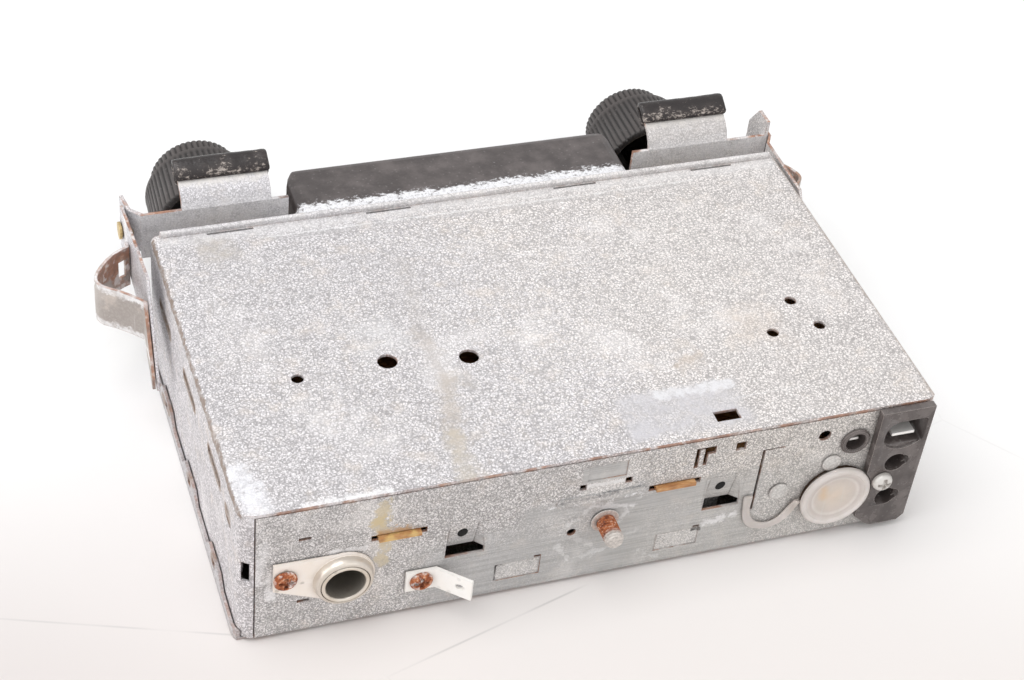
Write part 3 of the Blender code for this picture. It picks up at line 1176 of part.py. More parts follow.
def rubber_profile():
    """The rubber's section: a channel with a round end, slipped over the tab's slanted end."""
    bend_y, bend_z = tab_profile()[-2]
    run = Vector((-math.cos(TAB_END_ANGLE), math.sin(TAB_END_ANGLE)))
    up = Vector((run.y, -run.x))
    middle = Vector((bend_y, bend_z)) - up * BRACKET_SHEET / 2
    thick, slot = RUBBER_THICK / 2, BRACKET_SHEET / 2 + FIT_GAP
    slot_end = TAB_END_LENGTH + FIT_GAP
    section = [(-RUBBER_SKIRT, thick)]
    section += [(RUBBER_LENGTH + a, b) for a, b in reversed(arc((0, 0), thick, -90, 90, 6))]
    section += [(-RUBBER_SKIRT, -thick), (-RUBBER_SKIRT, -slot), (slot_end, -slot),
                (slot_end, slot), (-RUBBER_SKIRT, slot)]
    return [tuple(middle + run * along + up * aside) for along, aside in section]


def bracket_ear(side):
    """The ear that carries the side arm: bent straight forwards, or out and then forwards."""
    if side > 0:
        top, low = BRACKET_TOP, BRACKET_TOP - EAR_HEIGHT + EAR_ABOVE
        path = [(side * (EAR_BEND[0][0] - BRACKET_SHEET), at(BRACKET_DEPTH))]
        path += [(side * x, at(BRACKET_DEPTH + ahead)) for x, ahead in EAR_BEND]
        return extruded(strip_outline(path, -BRACKET_SHEET), "XY", low, top)
    top = BRACKET_TOP + EAR_ABOVE
    low = top - EAR_HEIGHT
    front = BRACKET_FACE_DEPTH + EAR_REACH
    points = [(at(BRACKET_DEPTH), low), (at(BRACKET_DEPTH), top), (at(front - EAR_CHAMFER), top),
              (at(front), top - 1.4 * EAR_CHAMFER), (at(front), low + EAR_CHAMFER),
              (at(front - EAR_CHAMFER), low)]
    ends = sorted((side * BRACKET_OUTER_X, side * (BRACKET_OUTER_X - BRACKET_SHEET)))
    return extruded(points, "YZ", *ends)


def make_bracket(side, label, zinc, rubber, brass):
    """One mounting bracket with its tab, ear, side arm, leaf spring, rivet and rubber."""
    plate = extruded(bracket_outline(side), "XZ", at(BRACKET_FACE_DEPTH), at(BRACKET_DEPTH))
    half = TAB_WIDTH / 2
    tab = extruded(strip_outline(tab_profile(), BRACKET_SHEET), "YZ",
                   side * SHAFT_X - half, side * SHAFT_X + half)
    rivet_depth = BRACKET_FACE_DEPTH + ARM_FRONT_LAP / 2 + FIT_GAP
    ear_inner = BRACKET_OUTER_X - 2 * BRACKET_SHEET
    reach = sorted((side * ear_inner, side * (ear_inner + 3 * BRACKET_SHEET + OVERRUN)))
    rivet_hole = cross_rod(ARM_RIVET_RADIUS * 0.6 + FIT_GAP, *reach, rivet_depth, ARM_RIVET_Z, 12)
    hole = rod(BUSH_RADIUS + FIT_GAP, BRACKET_DEPTH - OVERRUN, BRACKET_FACE_DEPTH + OVERRUN,
               side * SHAFT_X, SHAFT_Z)
    assemble(f"bracket_{label}", zinc, plate, adds=[tab, bracket_ear(side)],
             cuts=[hole, rivet_hole])
    half = RUBBER_WIDTH / 2
    assemble(f"rubber_strip_{label}", rubber,
             extruded(rubber_profile(), "YZ", side * SHAFT_X - half, side * SHAFT_X + half))
    make_side_arm(side, label, zinc, brass, rivet_depth)


def arm_outline():
    """The side arm in the plane of the case's side: a long triangle that points back."""
    front = BRACKET_FACE_DEPTH + ARM_FRONT_LAP
    knee = BRACKET_DEPTH - ARM_TOP_LENGTH
    tip = BRACKET_DEPTH - ARM_LENGTH
    return [(at(front), ARM_FRONT_FOOT), (at(front), BRACKET_TOP), (at(knee), BRACKET_TOP),
            (at(tip), ARM_TIP_Z), (at(tip), ARM_TIP_Z - ARM_TIP_HEIGHT)]


def arm_x(side, depth):
    """How far out the arm's inner face stands at a depth."""
    line = [(x, BRACKET_DEPTH - back) for x, back in ARM_LINES[side]]
    for (x_ahead, ahead), (x_behind, behind) in zip(line, line[1:]):
        if depth >= behind:
            return x_behind + (x_ahead - x_behind) * (depth - behind) / (ahead - behind)
    return line[-1][0]


def make_side_arm(side, label, zinc, brass, rivet_depth):
    """The riveted side arm and the leaf spring that bows out from it."""
    path = [(side * x, at(BRACKET_DEPTH - back)) for x, back in ARM_LINES[side]]
    strip = extruded(strip_outline(path, -side * SHEET), "XY", ARM_TIP_Z - 2 * ARM_TIP_HEIGHT,
                     BRACKET_TOP + OVERRUN)
    far = arm_x(side, rivet_depth) + SHEET
    reach = sorted((side * (BRACKET_INNER_X + OVERRUN), side * (far + 2 * OVERRUN)))
    wide = sorted((0, side * (far + 2 * OVERRUN)))
    arm_hole = cross_rod(ARM_RIVET_RADIUS * 0.6 + FIT_GAP, *reach, rivet_depth, ARM_RIVET_Z, 12)
    assemble(f"side_arm_{label}", zinc, strip, keep=extruded(arm_outline(), "YZ", *wide),
             cuts=[arm_hole])
    make_side_spring(side, label, zinc)

    shank = ARM_RIVET_RADIUS * 0.6
    head_x = far + FIT_GAP
    inner_x = BRACKET_OUTER_X - BRACKET_SHEET - FIT_GAP
    pin = cross_rod(shank, *sorted((side * inner_x, side * (head_x + ARM_RIVET_HEAD / 2))),
                    rivet_depth, ARM_RIVET_Z, 12)
    head = cross_rod(ARM_RIVET_RADIUS, *sorted((side * head_x, side * (head_x + ARM_RIVET_HEAD))),
                     rivet_depth, ARM_RIVET_Z, 16)
    assemble(f"arm_rivet_{label}", brass, head, adds=[pin])


def make_side_spring(side, label, zinc):
    """The leaf that bows out from the arm and comes back to it."""
    bulge, chord = SPRING_BULGE[side], SPRING_CHORD[side]
    loop_start = BRACKET_DEPTH - SPRING_SETBACK
    tail = BRACKET_DEPTH - ARM_LENGTH + SPRING_TIP_GAP

    def foot(depth):
        return arm_x(side, depth) + SHEET + FIT_GAP

    route = []
    for out, along in SPRING_SHARES:
        depth = loop_start - along * chord
        route.append((foot(depth) + out * bulge, depth))
    ahead = BRACKET_DEPTH - SPRING_FRONT
    curve = smooth_path(route, 2)
    path = [(foot(ahead), ahead), *curve[:-2], curve[-1], (foot(tail), tail)]
    outline = strip_outline([(side * x, at(depth)) for x, depth in path], -side * SHEET)
    low, high = SPRING_LOW, SPRING_LOW + SPRING_HEIGHT
    (knee_y, knee_z), (tip_y, tip_z), (foot_y, foot_z) = arm_outline()[2:]
    strip = extruded(outline, "XY", foot_z, high)
    wide = sorted((side * BODY_WIDTH / 2, side * (foot(tail) + bulge + 2 * SHEET)))
    above = high + OVERRUN
    level_y = knee_y + (above - knee_z) * (knee_y - tip_y) / (knee_z - tip_z)
    ahead_y = at(BRACKET_FACE_DEPTH)
    shape = extruded([(ahead_y, low), (ahead_y, above), (level_y, above), (tip_y, tip_z),
                      (foot_y, foot_z), (at(loop_start - chord), low)], "YZ", *wide)
    start = Vector((side * route[0][0], at(route[0][1])))
    run = (Vector((side * route[1][0], at(route[1][1]))) - start).normalized()
    aside = Vector((-run.y, run.x)) * 2 * SHEET
    near, far = (start + run * along for along in SPRING_WINDOW_SPAN)
    hole = [tuple(near - aside), tuple(near + aside), tuple(far + aside), tuple(far - aside)]
    window = extruded(hole, "XY", SPRING_WINDOW_LOW, SPRING_WINDOW_LOW + SPRING_WINDOW_HEIGHT)
    assemble(f"side_spring_{label}", zinc, strip, keep=shape, cuts=[window])


def nose_plan(half, rear, front, radius):
    """The nosepiece from above, with its two front corners rounded."""
    ahead = at(front)
    points = [(half, at(rear)), (-half, at(rear))]
    points += arc((radius - half, ahead + radius), radius, 180, 270, 6)
    return points + arc((half - radius, ahead + radius), radius, 270, 360, 6)


def make_nosepiece(black, clear, scale_white, pointer_red, key_black):
    """The front moulding with the dial window, the dial behind it and the push buttons."""
    rear = BODY_DEPTH
    front = rear + NOSE_DEPTH
    half = NOSE_WIDTH / 2
    shape = extruded(rounded(-half, NOSE_BOTTOM, half, NOSE_TOP, NOSE_CORNER), "XZ",
                     at(front), at(rear))
    plan = extruded(nose_plan(half, rear, front, NOSE_PLAN_ROUND), "XY", -OVERRUN, BODY_HEIGHT)
    side_view = extruded([(at(rear - OVERRUN), NOSE_BOTTOM - OVERRUN), (at(rear - OVERRUN), NOSE_TOP
                                                                        + OVERRUN),
                          (at(front - NOSE_FRONT_ROUND), NOSE_TOP + OVERRUN),
                          *arc((at(front - NOSE_FRONT_ROUND), NOSE_TOP - NOSE_FRONT_ROUND),
                               NOSE_FRONT_ROUND, 90, 180, 4),
                          (at(front), NOSE_BOTTOM - OVERRUN)], "YZ", -half - OVERRUN, half + OVERRUN)
    wall_back = front - NOSE_WALL
    inner_half = half - NOSE_WALL
    hollow = extruded(nose_plan(inner_half, rear - OVERRUN, wall_back, NOSE_PLAN_ROUND - NOSE_WALL),
                      "XY", NOSE_BOTTOM + NOSE_WALL, NOSE_TOP - NOSE_WALL)
    through = (at(front + OVERRUN), at(wall_back - OVERRUN))
    window = extruded(centred(0, DIAL_Z, DIAL_WIDTH, DIAL_HEIGHT), "XZ", *through)
    key_holes = [extruded(centred(button_x(number), BUTTON_Z, BUTTON_WIDTH + 2 * FIT_GAP,
                                  BUTTON_HEIGHT + 2 * FIT_GAP), "XZ", *through)
                 for number in range(BUTTON_COUNT)]
    nose = assemble("nosepiece", black, shape, keep=plan)
    add_boolean(nose, make_helper("nosepiece_side_view", side_view), "INTERSECT")
    add_boolean(nose, make_helper("nosepiece_hollow", hollow), "DIFFERENCE")
    add_boolean(nose, make_helper("nosepiece_openings", joined([window, *key_holes])), "DIFFERENCE")

    lens_front = wall_back - FIT_GAP
    lens = centred(0, DIAL_Z, DIAL_WIDTH + 2 * LENS_LAP, DIAL_HEIGHT + 2 * LENS_LAP)
    assemble("dial_lens", clear,
             extruded(lens, "XZ", at(lens_front), at(lens_front - LENS_THICK)))
    scale_front = wall_back - SCALE_SETBACK
    scale_half = inner_half - 2 * FIT_GAP
    scale_top = DIAL_Z + DIAL_HEIGHT / 2 + FIT_GAP
    scale_low = DIAL_Z - DIAL_HEIGHT / 2 - LENS_LAP
    assemble("dial_scale", scale_white,
             extruded([(-scale_half, scale_low), (scale_half, scale_low),
                       (scale_half, scale_top - NOSE_CORNER),
                       (scale_half - NOSE_CORNER, scale_top), (NOSE_CORNER - scale_half, scale_top),
                       (-scale_half, scale_top - NOSE_CORNER)], "XZ",
                      at(scale_front), at(scale_front - SCALE_THICK)))
    make_pointer(pointer_red, scale_front, scale_top)
    for number in range(BUTTON_COUNT):
        make_button(number, key_black, front, wall_back)
    lamp_back = scale_front - SCALE_THICK - FIT_GAP
    lamp_z = NOSE_TOP - NOSE_WALL - FIT_GAP - LAMP_RADIUS
    assemble("dial_lamp", clear, turned(
        [(0, lamp_back - LAMP_LENGTH), (LAMP_RADIUS, lamp_back - LAMP_LENGTH),
         (LAMP_RADIUS, lamp_back - LAMP_LENGTH * 0.3), (LAMP_RADIUS * 0.7, lamp_back
                                                        - LAMP_LENGTH * 0.1),
         (0, lamp_back)], half - 4 * NOSE_WALL, lamp_z, 14))


def make_pointer(red, scale_front, scale_top):
    """The pointer: a narrow clip that rides on the scale's upper edge."""
    gap, thick = FIT_GAP, POINTER_THICK
    back = scale_front - SCALE_THICK - gap
    low = DIAL_Z - DIAL_HEIGHT / 2
    section = [(at(scale_front + gap + thick), low), (at(scale_front + gap + thick), scale_top + gap
                                                      + thick),
               (at(back - thick), scale_top + gap + thick), (at(back - thick), scale_top
                                                             - POINTER_CLIP),
               (at(back), scale_top - POINTER_CLIP), (at(back), scale_top + gap),
               (at(scale_front + gap), scale_top + gap), (at(scale_front + gap), low)]
    assemble("dial_pointer", red, extruded(section, "YZ", -POINTER_WIDTH / 2, POINTER_WIDTH / 2),
             origin=(0, at(scale_front), scale_top))


def button_x(number):
    """The middle of a push button, counted from the left seen from the front."""
    return (number - (BUTTON_COUNT - 1) / 2) * BUTTON_PITCH


def make_button(number, black, front, wall_back):
    """A push button with a collar behind the front wall that keeps it in."""
    x, half_w, half_h = button_x(number), BUTTON_WIDTH / 2, BUTTON_HEIGHT / 2
    key = extruded(rectangle(x - half_w, BUTTON_Z - half_h, x + half_w, BUTTON_Z + half_h), "XZ",
                   at(front + BUTTON_PROUD), at(wall_back - BUTTON_TAIL))
    edges = [edge for edge in key.edges
             if all(abs(vert.co.y - at(front + BUTTON_PROUD)) < FIT_GAP for vert in edge.verts)]
    bmesh.ops.bevel(key, geom=edges, offset=BUTTON_BEVEL, segments=2, profile=0.5,
                    affect="EDGES", clamp_overlap=True)
    collar_front = wall_back - FIT_GAP
    collar = extruded(rectangle(x - half_w - BUTTON_LAP, BUTTON_Z - half_h - BUTTON_LAP,
                                x + half_w + BUTTON_LAP, BUTTON_Z + half_h + BUTTON_LAP), "XZ",
                      at(collar_front), at(collar_front - SHEET))
    assemble(f"push_button_{number + 1}", black, key, adds=[collar],
             origin=(x, at(front), BUTTON_Z))


def make_inner_works(zinc, steel):
    """Coil block with its sliding cores, and the output stage on its heat sink."""
    coil_low_z = PANEL_BASE + FIT_GAP
    coil_front = BODY_DEPTH - 2 * SHEET - 2 * FIT_GAP
    x0 = COIL_BLOCK_X
    block = box((x0, at(coil_front), coil_low_z),
                (x0 + COIL_BLOCK_LENGTH, at(coil_front - COIL_BLOCK_DEPTH), coil_low_z
                 + COIL_BLOCK_HEIGHT))
    middle_depth = coil_front - COIL_BLOCK_DEPTH / 2
    levels = [coil_low_z + COIL_BLOCK_HEIGHT / 2 + step * CORE_PITCH for step in (-1, 0, 1)]
    bores = [cross_rod(COIL_BORE_RADIUS, x0 - OVERRUN, x0 + COIL_BLOCK_LENGTH + OVERRUN,
                       middle_depth, z) for z in levels]
    assemble("tuner_unit", zinc, block, cuts=bores)
    end_x = x0 + COIL_BLOCK_LENGTH
    plate_x = end_x + CORE_EXPOSED
    plate = box((plate_x, at(middle_depth + COIL_BORE_RADIUS), levels[0] - COIL_BORE_RADIUS),
                (plate_x + CARRIAGE_THICK, at(middle_depth - COIL_BORE_RADIUS),
                 levels[2] + COIL_BORE_RADIUS))
    cores = [cross_rod(CORE_RADIUS, end_x - CORE_INSERT, plate_x + CARRIAGE_THICK / 2,
                       middle_depth, z, 12) for z in levels]
    assemble("core_carriage", steel, plate, adds=cores, origin=(plate_x, at(middle_depth), levels[1]))

    board_low = BOARD_Z - FIT_GAP
    sink_x = across(BOARD_EAR_SHARES[1])
    rear = SHEET + FIT_GAP
    sink = box((sink_x - HEAT_SINK_WIDTH / 2, at(rear + HEAT_SINK_DEPTH), board_low
                - HEAT_SINK_HEIGHT),
               (sink_x + HEAT_SINK_WIDTH / 2, at(rear + TONGUE_LEAN + 2 * SHEET), board_low))
    gaps = []
    pitch = HEAT_SINK_WIDTH / HEAT_SINK_FINS
    for number in range(HEAT_SINK_FINS - 1):
        fin_x = sink_x - HEAT_SINK_WIDTH / 2 + (number + 1) * pitch
        gaps.append(box((fin_x - pitch / 4, at(rear + HEAT_SINK_DEPTH + OVERRUN), board_low
                         - HEAT_SINK_HEIGHT - OVERRUN),
                        (fin_x + pitch / 4, at(rear + HEAT_SINK_DEPTH * 0.55), board_low
                         - 2 * SHEET)))
    assemble("output_stage", zinc, sink, cuts=gaps)


def main():
    """Builds every piece."""
    remove_start_objects()
    zinc = make_material("zinc_plate", (0.62, 0.62, 0.62), 0.5, 0.7)
    tin = make_material("tinned_brass", (0.82, 0.77, 0.68), 0.35, 0.8)
    steel = make_material("plated_steel", (0.60, 0.58, 0.55), 0.4, 0.9)
    rusty = make_material("rusty_steel", (0.45, 0.22, 0.12), 0.8, 0.4)
    brass = make_material("brass", (0.68, 0.50, 0.28), 0.4, 0.9)
    black = make_material("black_plastic", (0.03, 0.03, 0.03), 0.5, 0.0)
    paint = make_material("black_paint", (0.04, 0.04, 0.04), 0.45, 0.0)
    rubber = make_material("black_rubber", (0.03, 0.03, 0.03), 0.6, 0.0)
    bakelite = make_material("black_moulding", (0.05, 0.05, 0.05), 0.5, 0.0)
    pertinax = make_material("pertinax", (0.50, 0.28, 0.12), 0.6, 0.0)
    plastic = make_material("brown_plastic", (0.20, 0.13, 0.09), 0.6, 0.0)
    polythene = make_material("polythene", (0.85, 0.80, 0.72), 0.4, 0.0)
    clear = make_material("clear_plastic", (0.85, 0.88, 0.88), 0.1, 0.0)
    scale_white = make_material("dial_print", (0.80, 0.78, 0.70), 0.5, 0.0)
    red = make_material("pointer_red", (0.70, 0.08, 0.04), 0.4, 0.0)

    make_case_shell(zinc)
    make_bottom_cover(zinc)
    make_rear_panel(zinc)
    make_front_chassis(zinc)
    make_circuit_board(pertinax)
    make_aerial_socket(tin, plastic)
    plate_face = -FIT_GAP - SHEET - FIT_GAP
    make_screw("aerial_screw", rusty, *aerial_screw_place(), plate_face, PAN_HEAD_RADIUS,
               PAN_HEAD_HEIGHT)
    make_earth_lug(tin)
    make_screw("earth_screw", rusty, LUG_X, LUG_Z, plate_face, PAN_HEAD_RADIUS * 0.92,
               PAN_HEAD_HEIGHT * 0.8)
    make_rear_stud(rusty)
    make_connector_block(bakelite, steel)
    make_panel_socket(bakelite, steel)
    make_trimmer(plastic, brass, polythene)
    make_panel_rivets(zinc)
    make_volume_control(plastic)
    make_shaft_line(-1, "left", "control", ("volume_shaft", "tone_sleeve", "tone_ring",
                                            "volume_knob"), steel, brass, black)
    make_shaft_line(1, "right", "drum", ("tuning_shaft", "fader_sleeve", "fader_ring",
                                         "tuning_knob"), steel, brass, black)
    for side, label in ((-1, "left"), (1, "right")):
        make_bracket(side, label, zinc, rubber, brass)
    make_nosepiece(paint, clear, scale_white, red, black)
    make_inner_works(zinc, steel)


main()
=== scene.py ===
"""Looks of a two-shaft car radio from the 1970s, lying on its bottom cover and seen from behind.

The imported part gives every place: the front faces -Y, the rear panel faces +Y, and a depth is
a distance from the rear face towards the front. Lengths are in metres, but the marks of the top
and of the rear panel are listed in millimetres.
"""

import logging
import math
from collections.abc import Callable, Sequence
from dataclasses import dataclass
from enum import Enum
from typing import Protocol

import bmesh
import bpy
import numpy as np
from mathutils import Matrix, Vector


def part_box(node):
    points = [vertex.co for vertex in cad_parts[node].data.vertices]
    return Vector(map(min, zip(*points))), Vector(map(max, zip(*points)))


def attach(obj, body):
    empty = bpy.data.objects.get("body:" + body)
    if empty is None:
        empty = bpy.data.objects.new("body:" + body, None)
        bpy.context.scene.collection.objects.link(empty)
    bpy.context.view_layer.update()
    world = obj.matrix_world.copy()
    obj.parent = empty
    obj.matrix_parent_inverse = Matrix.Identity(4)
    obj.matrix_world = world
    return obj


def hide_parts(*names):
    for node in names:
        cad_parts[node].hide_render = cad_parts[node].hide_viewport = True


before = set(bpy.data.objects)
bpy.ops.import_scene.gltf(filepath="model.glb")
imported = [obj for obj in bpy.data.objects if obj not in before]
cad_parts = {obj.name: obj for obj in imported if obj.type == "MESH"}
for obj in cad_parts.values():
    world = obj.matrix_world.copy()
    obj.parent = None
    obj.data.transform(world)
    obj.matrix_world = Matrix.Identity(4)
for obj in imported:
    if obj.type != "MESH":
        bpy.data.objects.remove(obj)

log = logging.getLogger("car_radio")

Colour = tuple[float, float, float]
Place = tuple[float, float, float]
Span = tuple[float, float]
Box = tuple[Place, Place]
Profile = Sequence[tuple[float, float]]
Relief = Callable[[np.ndarray, np.ndarray], np.ndarray]
Row = tuple[float | Colour, ...]
Socket = bpy.types.NodeSocket
Sockets = dict[str, Socket]
Value = Socket | float | tuple

REAR_Y = 0.0751
BODY_TOP = 0.0437
SIDE_X = 0.0900
SHEET = 0.0008
FIT_GAP = 0.0003
SHAFT_X = 0.0673
SHAFT_Z = 0.0196
MM = 0.001
HALF = (0.5, 0.5, 0.5)
FAR = 0.2


def at(depth: float) -> float:
    """The y of a place this far in front of the rear face."""
    return REAR_Y - depth


class Body(Enum):
    """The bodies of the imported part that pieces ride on."""

    CASE = "case"
    VOLUME = "volume"
    TONE = "tone"
    TUNING = "tuning"
    FADER = "fader"
    CAP = "cap"


class Kind(Enum):
    """The kinds of socket that a shared effect has."""

    NUMBER = "NodeSocketFloat"
    PLACE = "NodeSocketVector"
    COLOUR = "NodeSocketColor"


class Graph:
    """Adds shader nodes to a node tree and joins them."""

    def __init__(self, tree: bpy.types.NodeTree) -> None:
        """Keeps the tree that nodes are added to."""
        self.tree = tree

    def node(self, kind: str, *values: Value | None, **settings: object) -> bpy.types.Node:
        """Adds one node.

        Args:
            kind: The node's type name in Blender, without its first word, ShaderNode.
            *values: What feeds its inputs in order; None leaves an input as it is.
            **settings: Values of the node's own properties.

        Returns:
            The new node.
        """
        made = self.tree.nodes.new(f"ShaderNode{kind}")
        for key, setting in settings.items():
            setattr(made, key, setting)
        for socket, value in zip(made.inputs, values):
            if value is not None:
                self.feed(socket, value)
        return made

    def feed(self, socket: Socket, value: Value) -> None:
        """Links another socket to this one, or sets its plain value."""
        if isinstance(value, Socket):
            self.tree.links.new(value, socket)
        else:
            socket.default_value = (*value[:3], 1.0) if socket.type == "RGBA" else value

    def math(self, kind: str, *values: Value, clamp: bool = False) -> Socket:
        """The result of one Math node."""
        return self.node("Math", *values, operation=kind, use_clamp=clamp).outputs[0]

    def times(self, first: Value, second: Value) -> Socket:
        """The product of two numbers."""
        return self.math("MULTIPLY", first, second)

    def plus(self, first: Value, second: Value) -> Socket:
        """The sum of two numbers."""
        return self.math("ADD", first, second)

    def total(self, *parts: tuple[Value, float]) -> Socket:
        """The sum of numbers, each times its weight."""
        first, *others = [self.times(*part) for part in parts]
        for other in others:
            first = self.plus(first, other)
        return first

    def vector(self, kind: str, *values: Value) -> Socket:
        """The result of one Vector Math node: a number for a dot product or a length."""
        made = self.node("VectorMath", *values, operation=kind)
        return made.outputs["Value" if kind in ("DOT_PRODUCT", "LENGTH") else "Vector"]

    def scaled(self, vector: Value, by: Value) -> Socket:
        """A vector times a number."""
        return self.node("VectorMath", vector, None, None, by, operation="SCALE").outputs["Vector"]

    def stretch(self, place: Value, scale: Place, turn: Place = (0, 0, 0)) -> Socket:
        """The place turned and stretched by a Mapping node."""
        return self.node("Mapping", place, None, turn, scale).outputs[0]

    def split(self, place: Value) -> tuple[Socket, ...]:
        """The x, y and z of a place."""
        return tuple(self.node("SeparateXYZ", place).outputs)

    def mix(self, share: Value, first: Value, second: Value, how: str = "MIX") -> Socket:
        """Two colours mixed by a share."""
        unused = [None] * 5
        made = self.node("Mix", share, *unused, first, second, data_type="RGBA", blend_type=how)
        return made.outputs[2]

    def blend(self, share: Value, first: Value, second: Value) -> Socket:
        """Two numbers mixed by a share."""
        return self.node("Mix", share, None, first, second, data_type="FLOAT").outputs[0]

    def band(self, value: Value, low: Value, high: Value, out_low: float = 0.0,
             out_high: float = 1.0) -> Socket:
        """A smooth step of the value from low to high, which may run downwards."""
        return self.node("MapRange", value, low, high, out_low, out_high,
                         interpolation_type="SMOOTHSTEP").outputs[0]

    def ramp(self, value: Value, *stops: tuple[float, Colour]) -> Socket:
        """A colour ramp through the stops."""
        made = self.node("ValToRGB", value)
        elements = made.color_ramp.elements
        while len(elements) < len(stops):
            elements.new(0.5)
        for element, (position, colour) in zip(elements, stops):
            element.position, element.color = position, (*colour, 1.0)
        return made.outputs[0]

    def noise(self, place: Value, scale: Value, detail: float = 2.0, roughness: float = 0.5,
              output: int = 0) -> Socket:
        """The tone of a Noise Texture, or its colour where output is 1."""
        return self.node("TexNoise", place, None, scale, detail, roughness).outputs[output]

    def cells(self, place: Value, scale: Value, feature: str = "F1") -> bpy.types.Node:
        """A Voronoi Texture node."""
        return self.node("TexVoronoi", place, None, scale, feature=feature)


class Effect:
    """A shader node group that several finishes share; an input without a value is a place."""

    made: dict[str, bpy.types.NodeTree] = {}
    name: str = ""
    inputs: dict[str, float | None] = {}
    outputs: dict[str, Kind] = {"Mask": Kind.NUMBER}

    def fill(self, graph: Graph, given: Sockets) -> Sockets:
        """Adds the effect's nodes and returns what feeds each output."""
        raise NotImplementedError

    def tree(self) -> bpy.types.NodeTree:
        """The effect's node group, built on first use.

        Returns:
            The shader node tree with its sockets.
        """
        if self.name not in self.made:
            tree = bpy.data.node_groups.new(self.name, "ShaderNodeTree")
            for label, value in self.inputs.items():
                kind = Kind.PLACE if value is None else Kind.NUMBER
                socket = tree.interface.new_socket(label, in_out="INPUT", socket_type=kind.value)
                if value is not None:
                    socket.default_value = value
            for label, kind in self.outputs.items():
                tree.interface.new_socket(label, in_out="OUTPUT", socket_type=kind.value)
            graph = Graph(tree)
            entry, end = tree.nodes.new("NodeGroupInput"), tree.nodes.new("NodeGroupOutput")
            given = {label: entry.outputs[label] for label in self.inputs}
            for label, value in self.fill(graph, given).items():
                graph.feed(end.inputs[label], value)
            self.made[self.name] = tree
        return self.made[self.name]

    def put(self, graph: Graph, **values: Value) -> Sockets:
        """Places the effect in a material.

        Args:
            graph: The material's graph.
            **values: What feeds its inputs, by name in lower case.

        Returns:
            The effect's outputs by name.
        """
        made = graph.node("Group", node_tree=self.tree())
        for label in self.inputs:
            if label.lower() in values:
                graph.feed(made.inputs[label], values[label.lower()])
        return {label: made.outputs[label] for label in self.outputs}


class ZincBloom(Effect):
    """Pale flecks of zinc bloom between darker seams, in clouds, with fine grain."""

    name = "zinc bloom"
    inputs = {"Place": None, "Size": 620.0}
    outputs = {"Tone": Kind.NUMBER, "Height": Kind.NUMBER}

    def fill(self, graph: Graph, given: Sockets) -> Sockets:
        """Cells of two sizes, bent by a soft noise, with clouds and grain over them."""
        place, size = given.values()
        push = graph.vector("SUBTRACT", graph.noise(place, 420.0, output=1), HALF)
        bent = graph.vector("ADD", place, graph.scaled(push, 0.0009))
        core = graph.band(graph.cells(bent, size).outputs["Distance"], 0.70, 0.12)
        less = graph.cells(bent, graph.times(size, 1.7)).outputs["Distance"]
        small = graph.band(less, 0.75, 0.15)
        grain = graph.noise(place, graph.times(size, 1.2), 3.0, 0.7)
        cloud = graph.noise(place, graph.times(size, 0.20), 4.0, 0.65)
        edges = graph.cells(bent, graph.times(size, 0.52), "DISTANCE_TO_EDGE").outputs["Distance"]
        seam = graph.band(edges, 0.0, 0.14)
        tone = graph.total((core, 0.30), (small, 0.16), (seam, 0.24), (cloud, 0.34), (grain, 0.44))
        return {"Tone": graph.band(tone, 0.48, 1.08),
                "Height": graph.total((core, 0.6), (grain, 0.5))}


class EdgeWear(Effect):
    """Where a surface turns a corner, from the difference that rounding it makes."""

    name = "edge wear"
    inputs = {"Radius": 0.0004, "Spread": 0.75}
    outputs = {"Mask": Kind.NUMBER, "Normal": Kind.PLACE}

    def fill(self, graph: Graph, given: Sockets) -> Sockets:
        """The rounded normal against the plain one."""
        rounded = graph.node("Bevel", given["Radius"], samples=4).outputs[0]
        plain = graph.node("NewGeometry").outputs["Normal"]
        along = graph.vector("DOT_PRODUCT", rounded, plain)
        return {"Mask": graph.band(along, 0.995, given["Spread"]), "Normal": rounded}


class Blotches(Effect):
    """Soft irregular patches."""

    name = "blotches"
    inputs = {"Place": None, "Size": 60.0, "Low": 0.5, "High": 0.65}

    def fill(self, graph: Graph, given: Sockets) -> Sockets:
        """A cloudy noise cut between two levels."""
        place, size, low, high = given.values()
        return {"Mask": graph.band(graph.noise(place, size, 5.0, 0.62), low, high)}


class Scratches(Effect):
    """Fine straight rubs in two directions."""

    name = "scratches"
    inputs = {"Place": None, "Level": 0.66}

    def fill(self, graph: Graph, given: Sockets) -> Sockets:
        """Two long thin noises, each turned its own way, whichever is stronger."""
        place, level = given.values()
        rubs = [graph.noise(graph.stretch(place, scale, turn), 1.0, 1.0) for scale, turn in (
            ((45, 1500, 1500), (0.2, 0.35, 0.9)), ((1300, 1300, 60), (0.5, 0.8, 0.1)))]
        return {"Mask": graph.band(graph.math("MAXIMUM", *rubs), level, graph.plus(level, 0.12))}


class RustBloom(Effect):
    """Orange and brown rust in crusts of several sizes."""

    name = "rust bloom"
    inputs = {"Place": None, "Size": 700.0}
    outputs = {"Colour": Kind.COLOUR, "Height": Kind.NUMBER}

    def fill(self, graph: Graph, given: Sockets) -> Sockets:
        """A rough noise through a ramp of rust colours."""
        crust = graph.noise(given["Place"], given["Size"], 5.0, 0.68)
        colour = graph.ramp(crust, (0.30, (0.09, 0.030, 0.018)), (0.44, (0.30, 0.078, 0.028)),
                            (0.54, (0.50, 0.160, 0.060)), (0.62, (0.66, 0.38, 0.25)),
                            (0.70, (0.86, 0.79, 0.75)))
        return {"Colour": colour, "Height": crust}


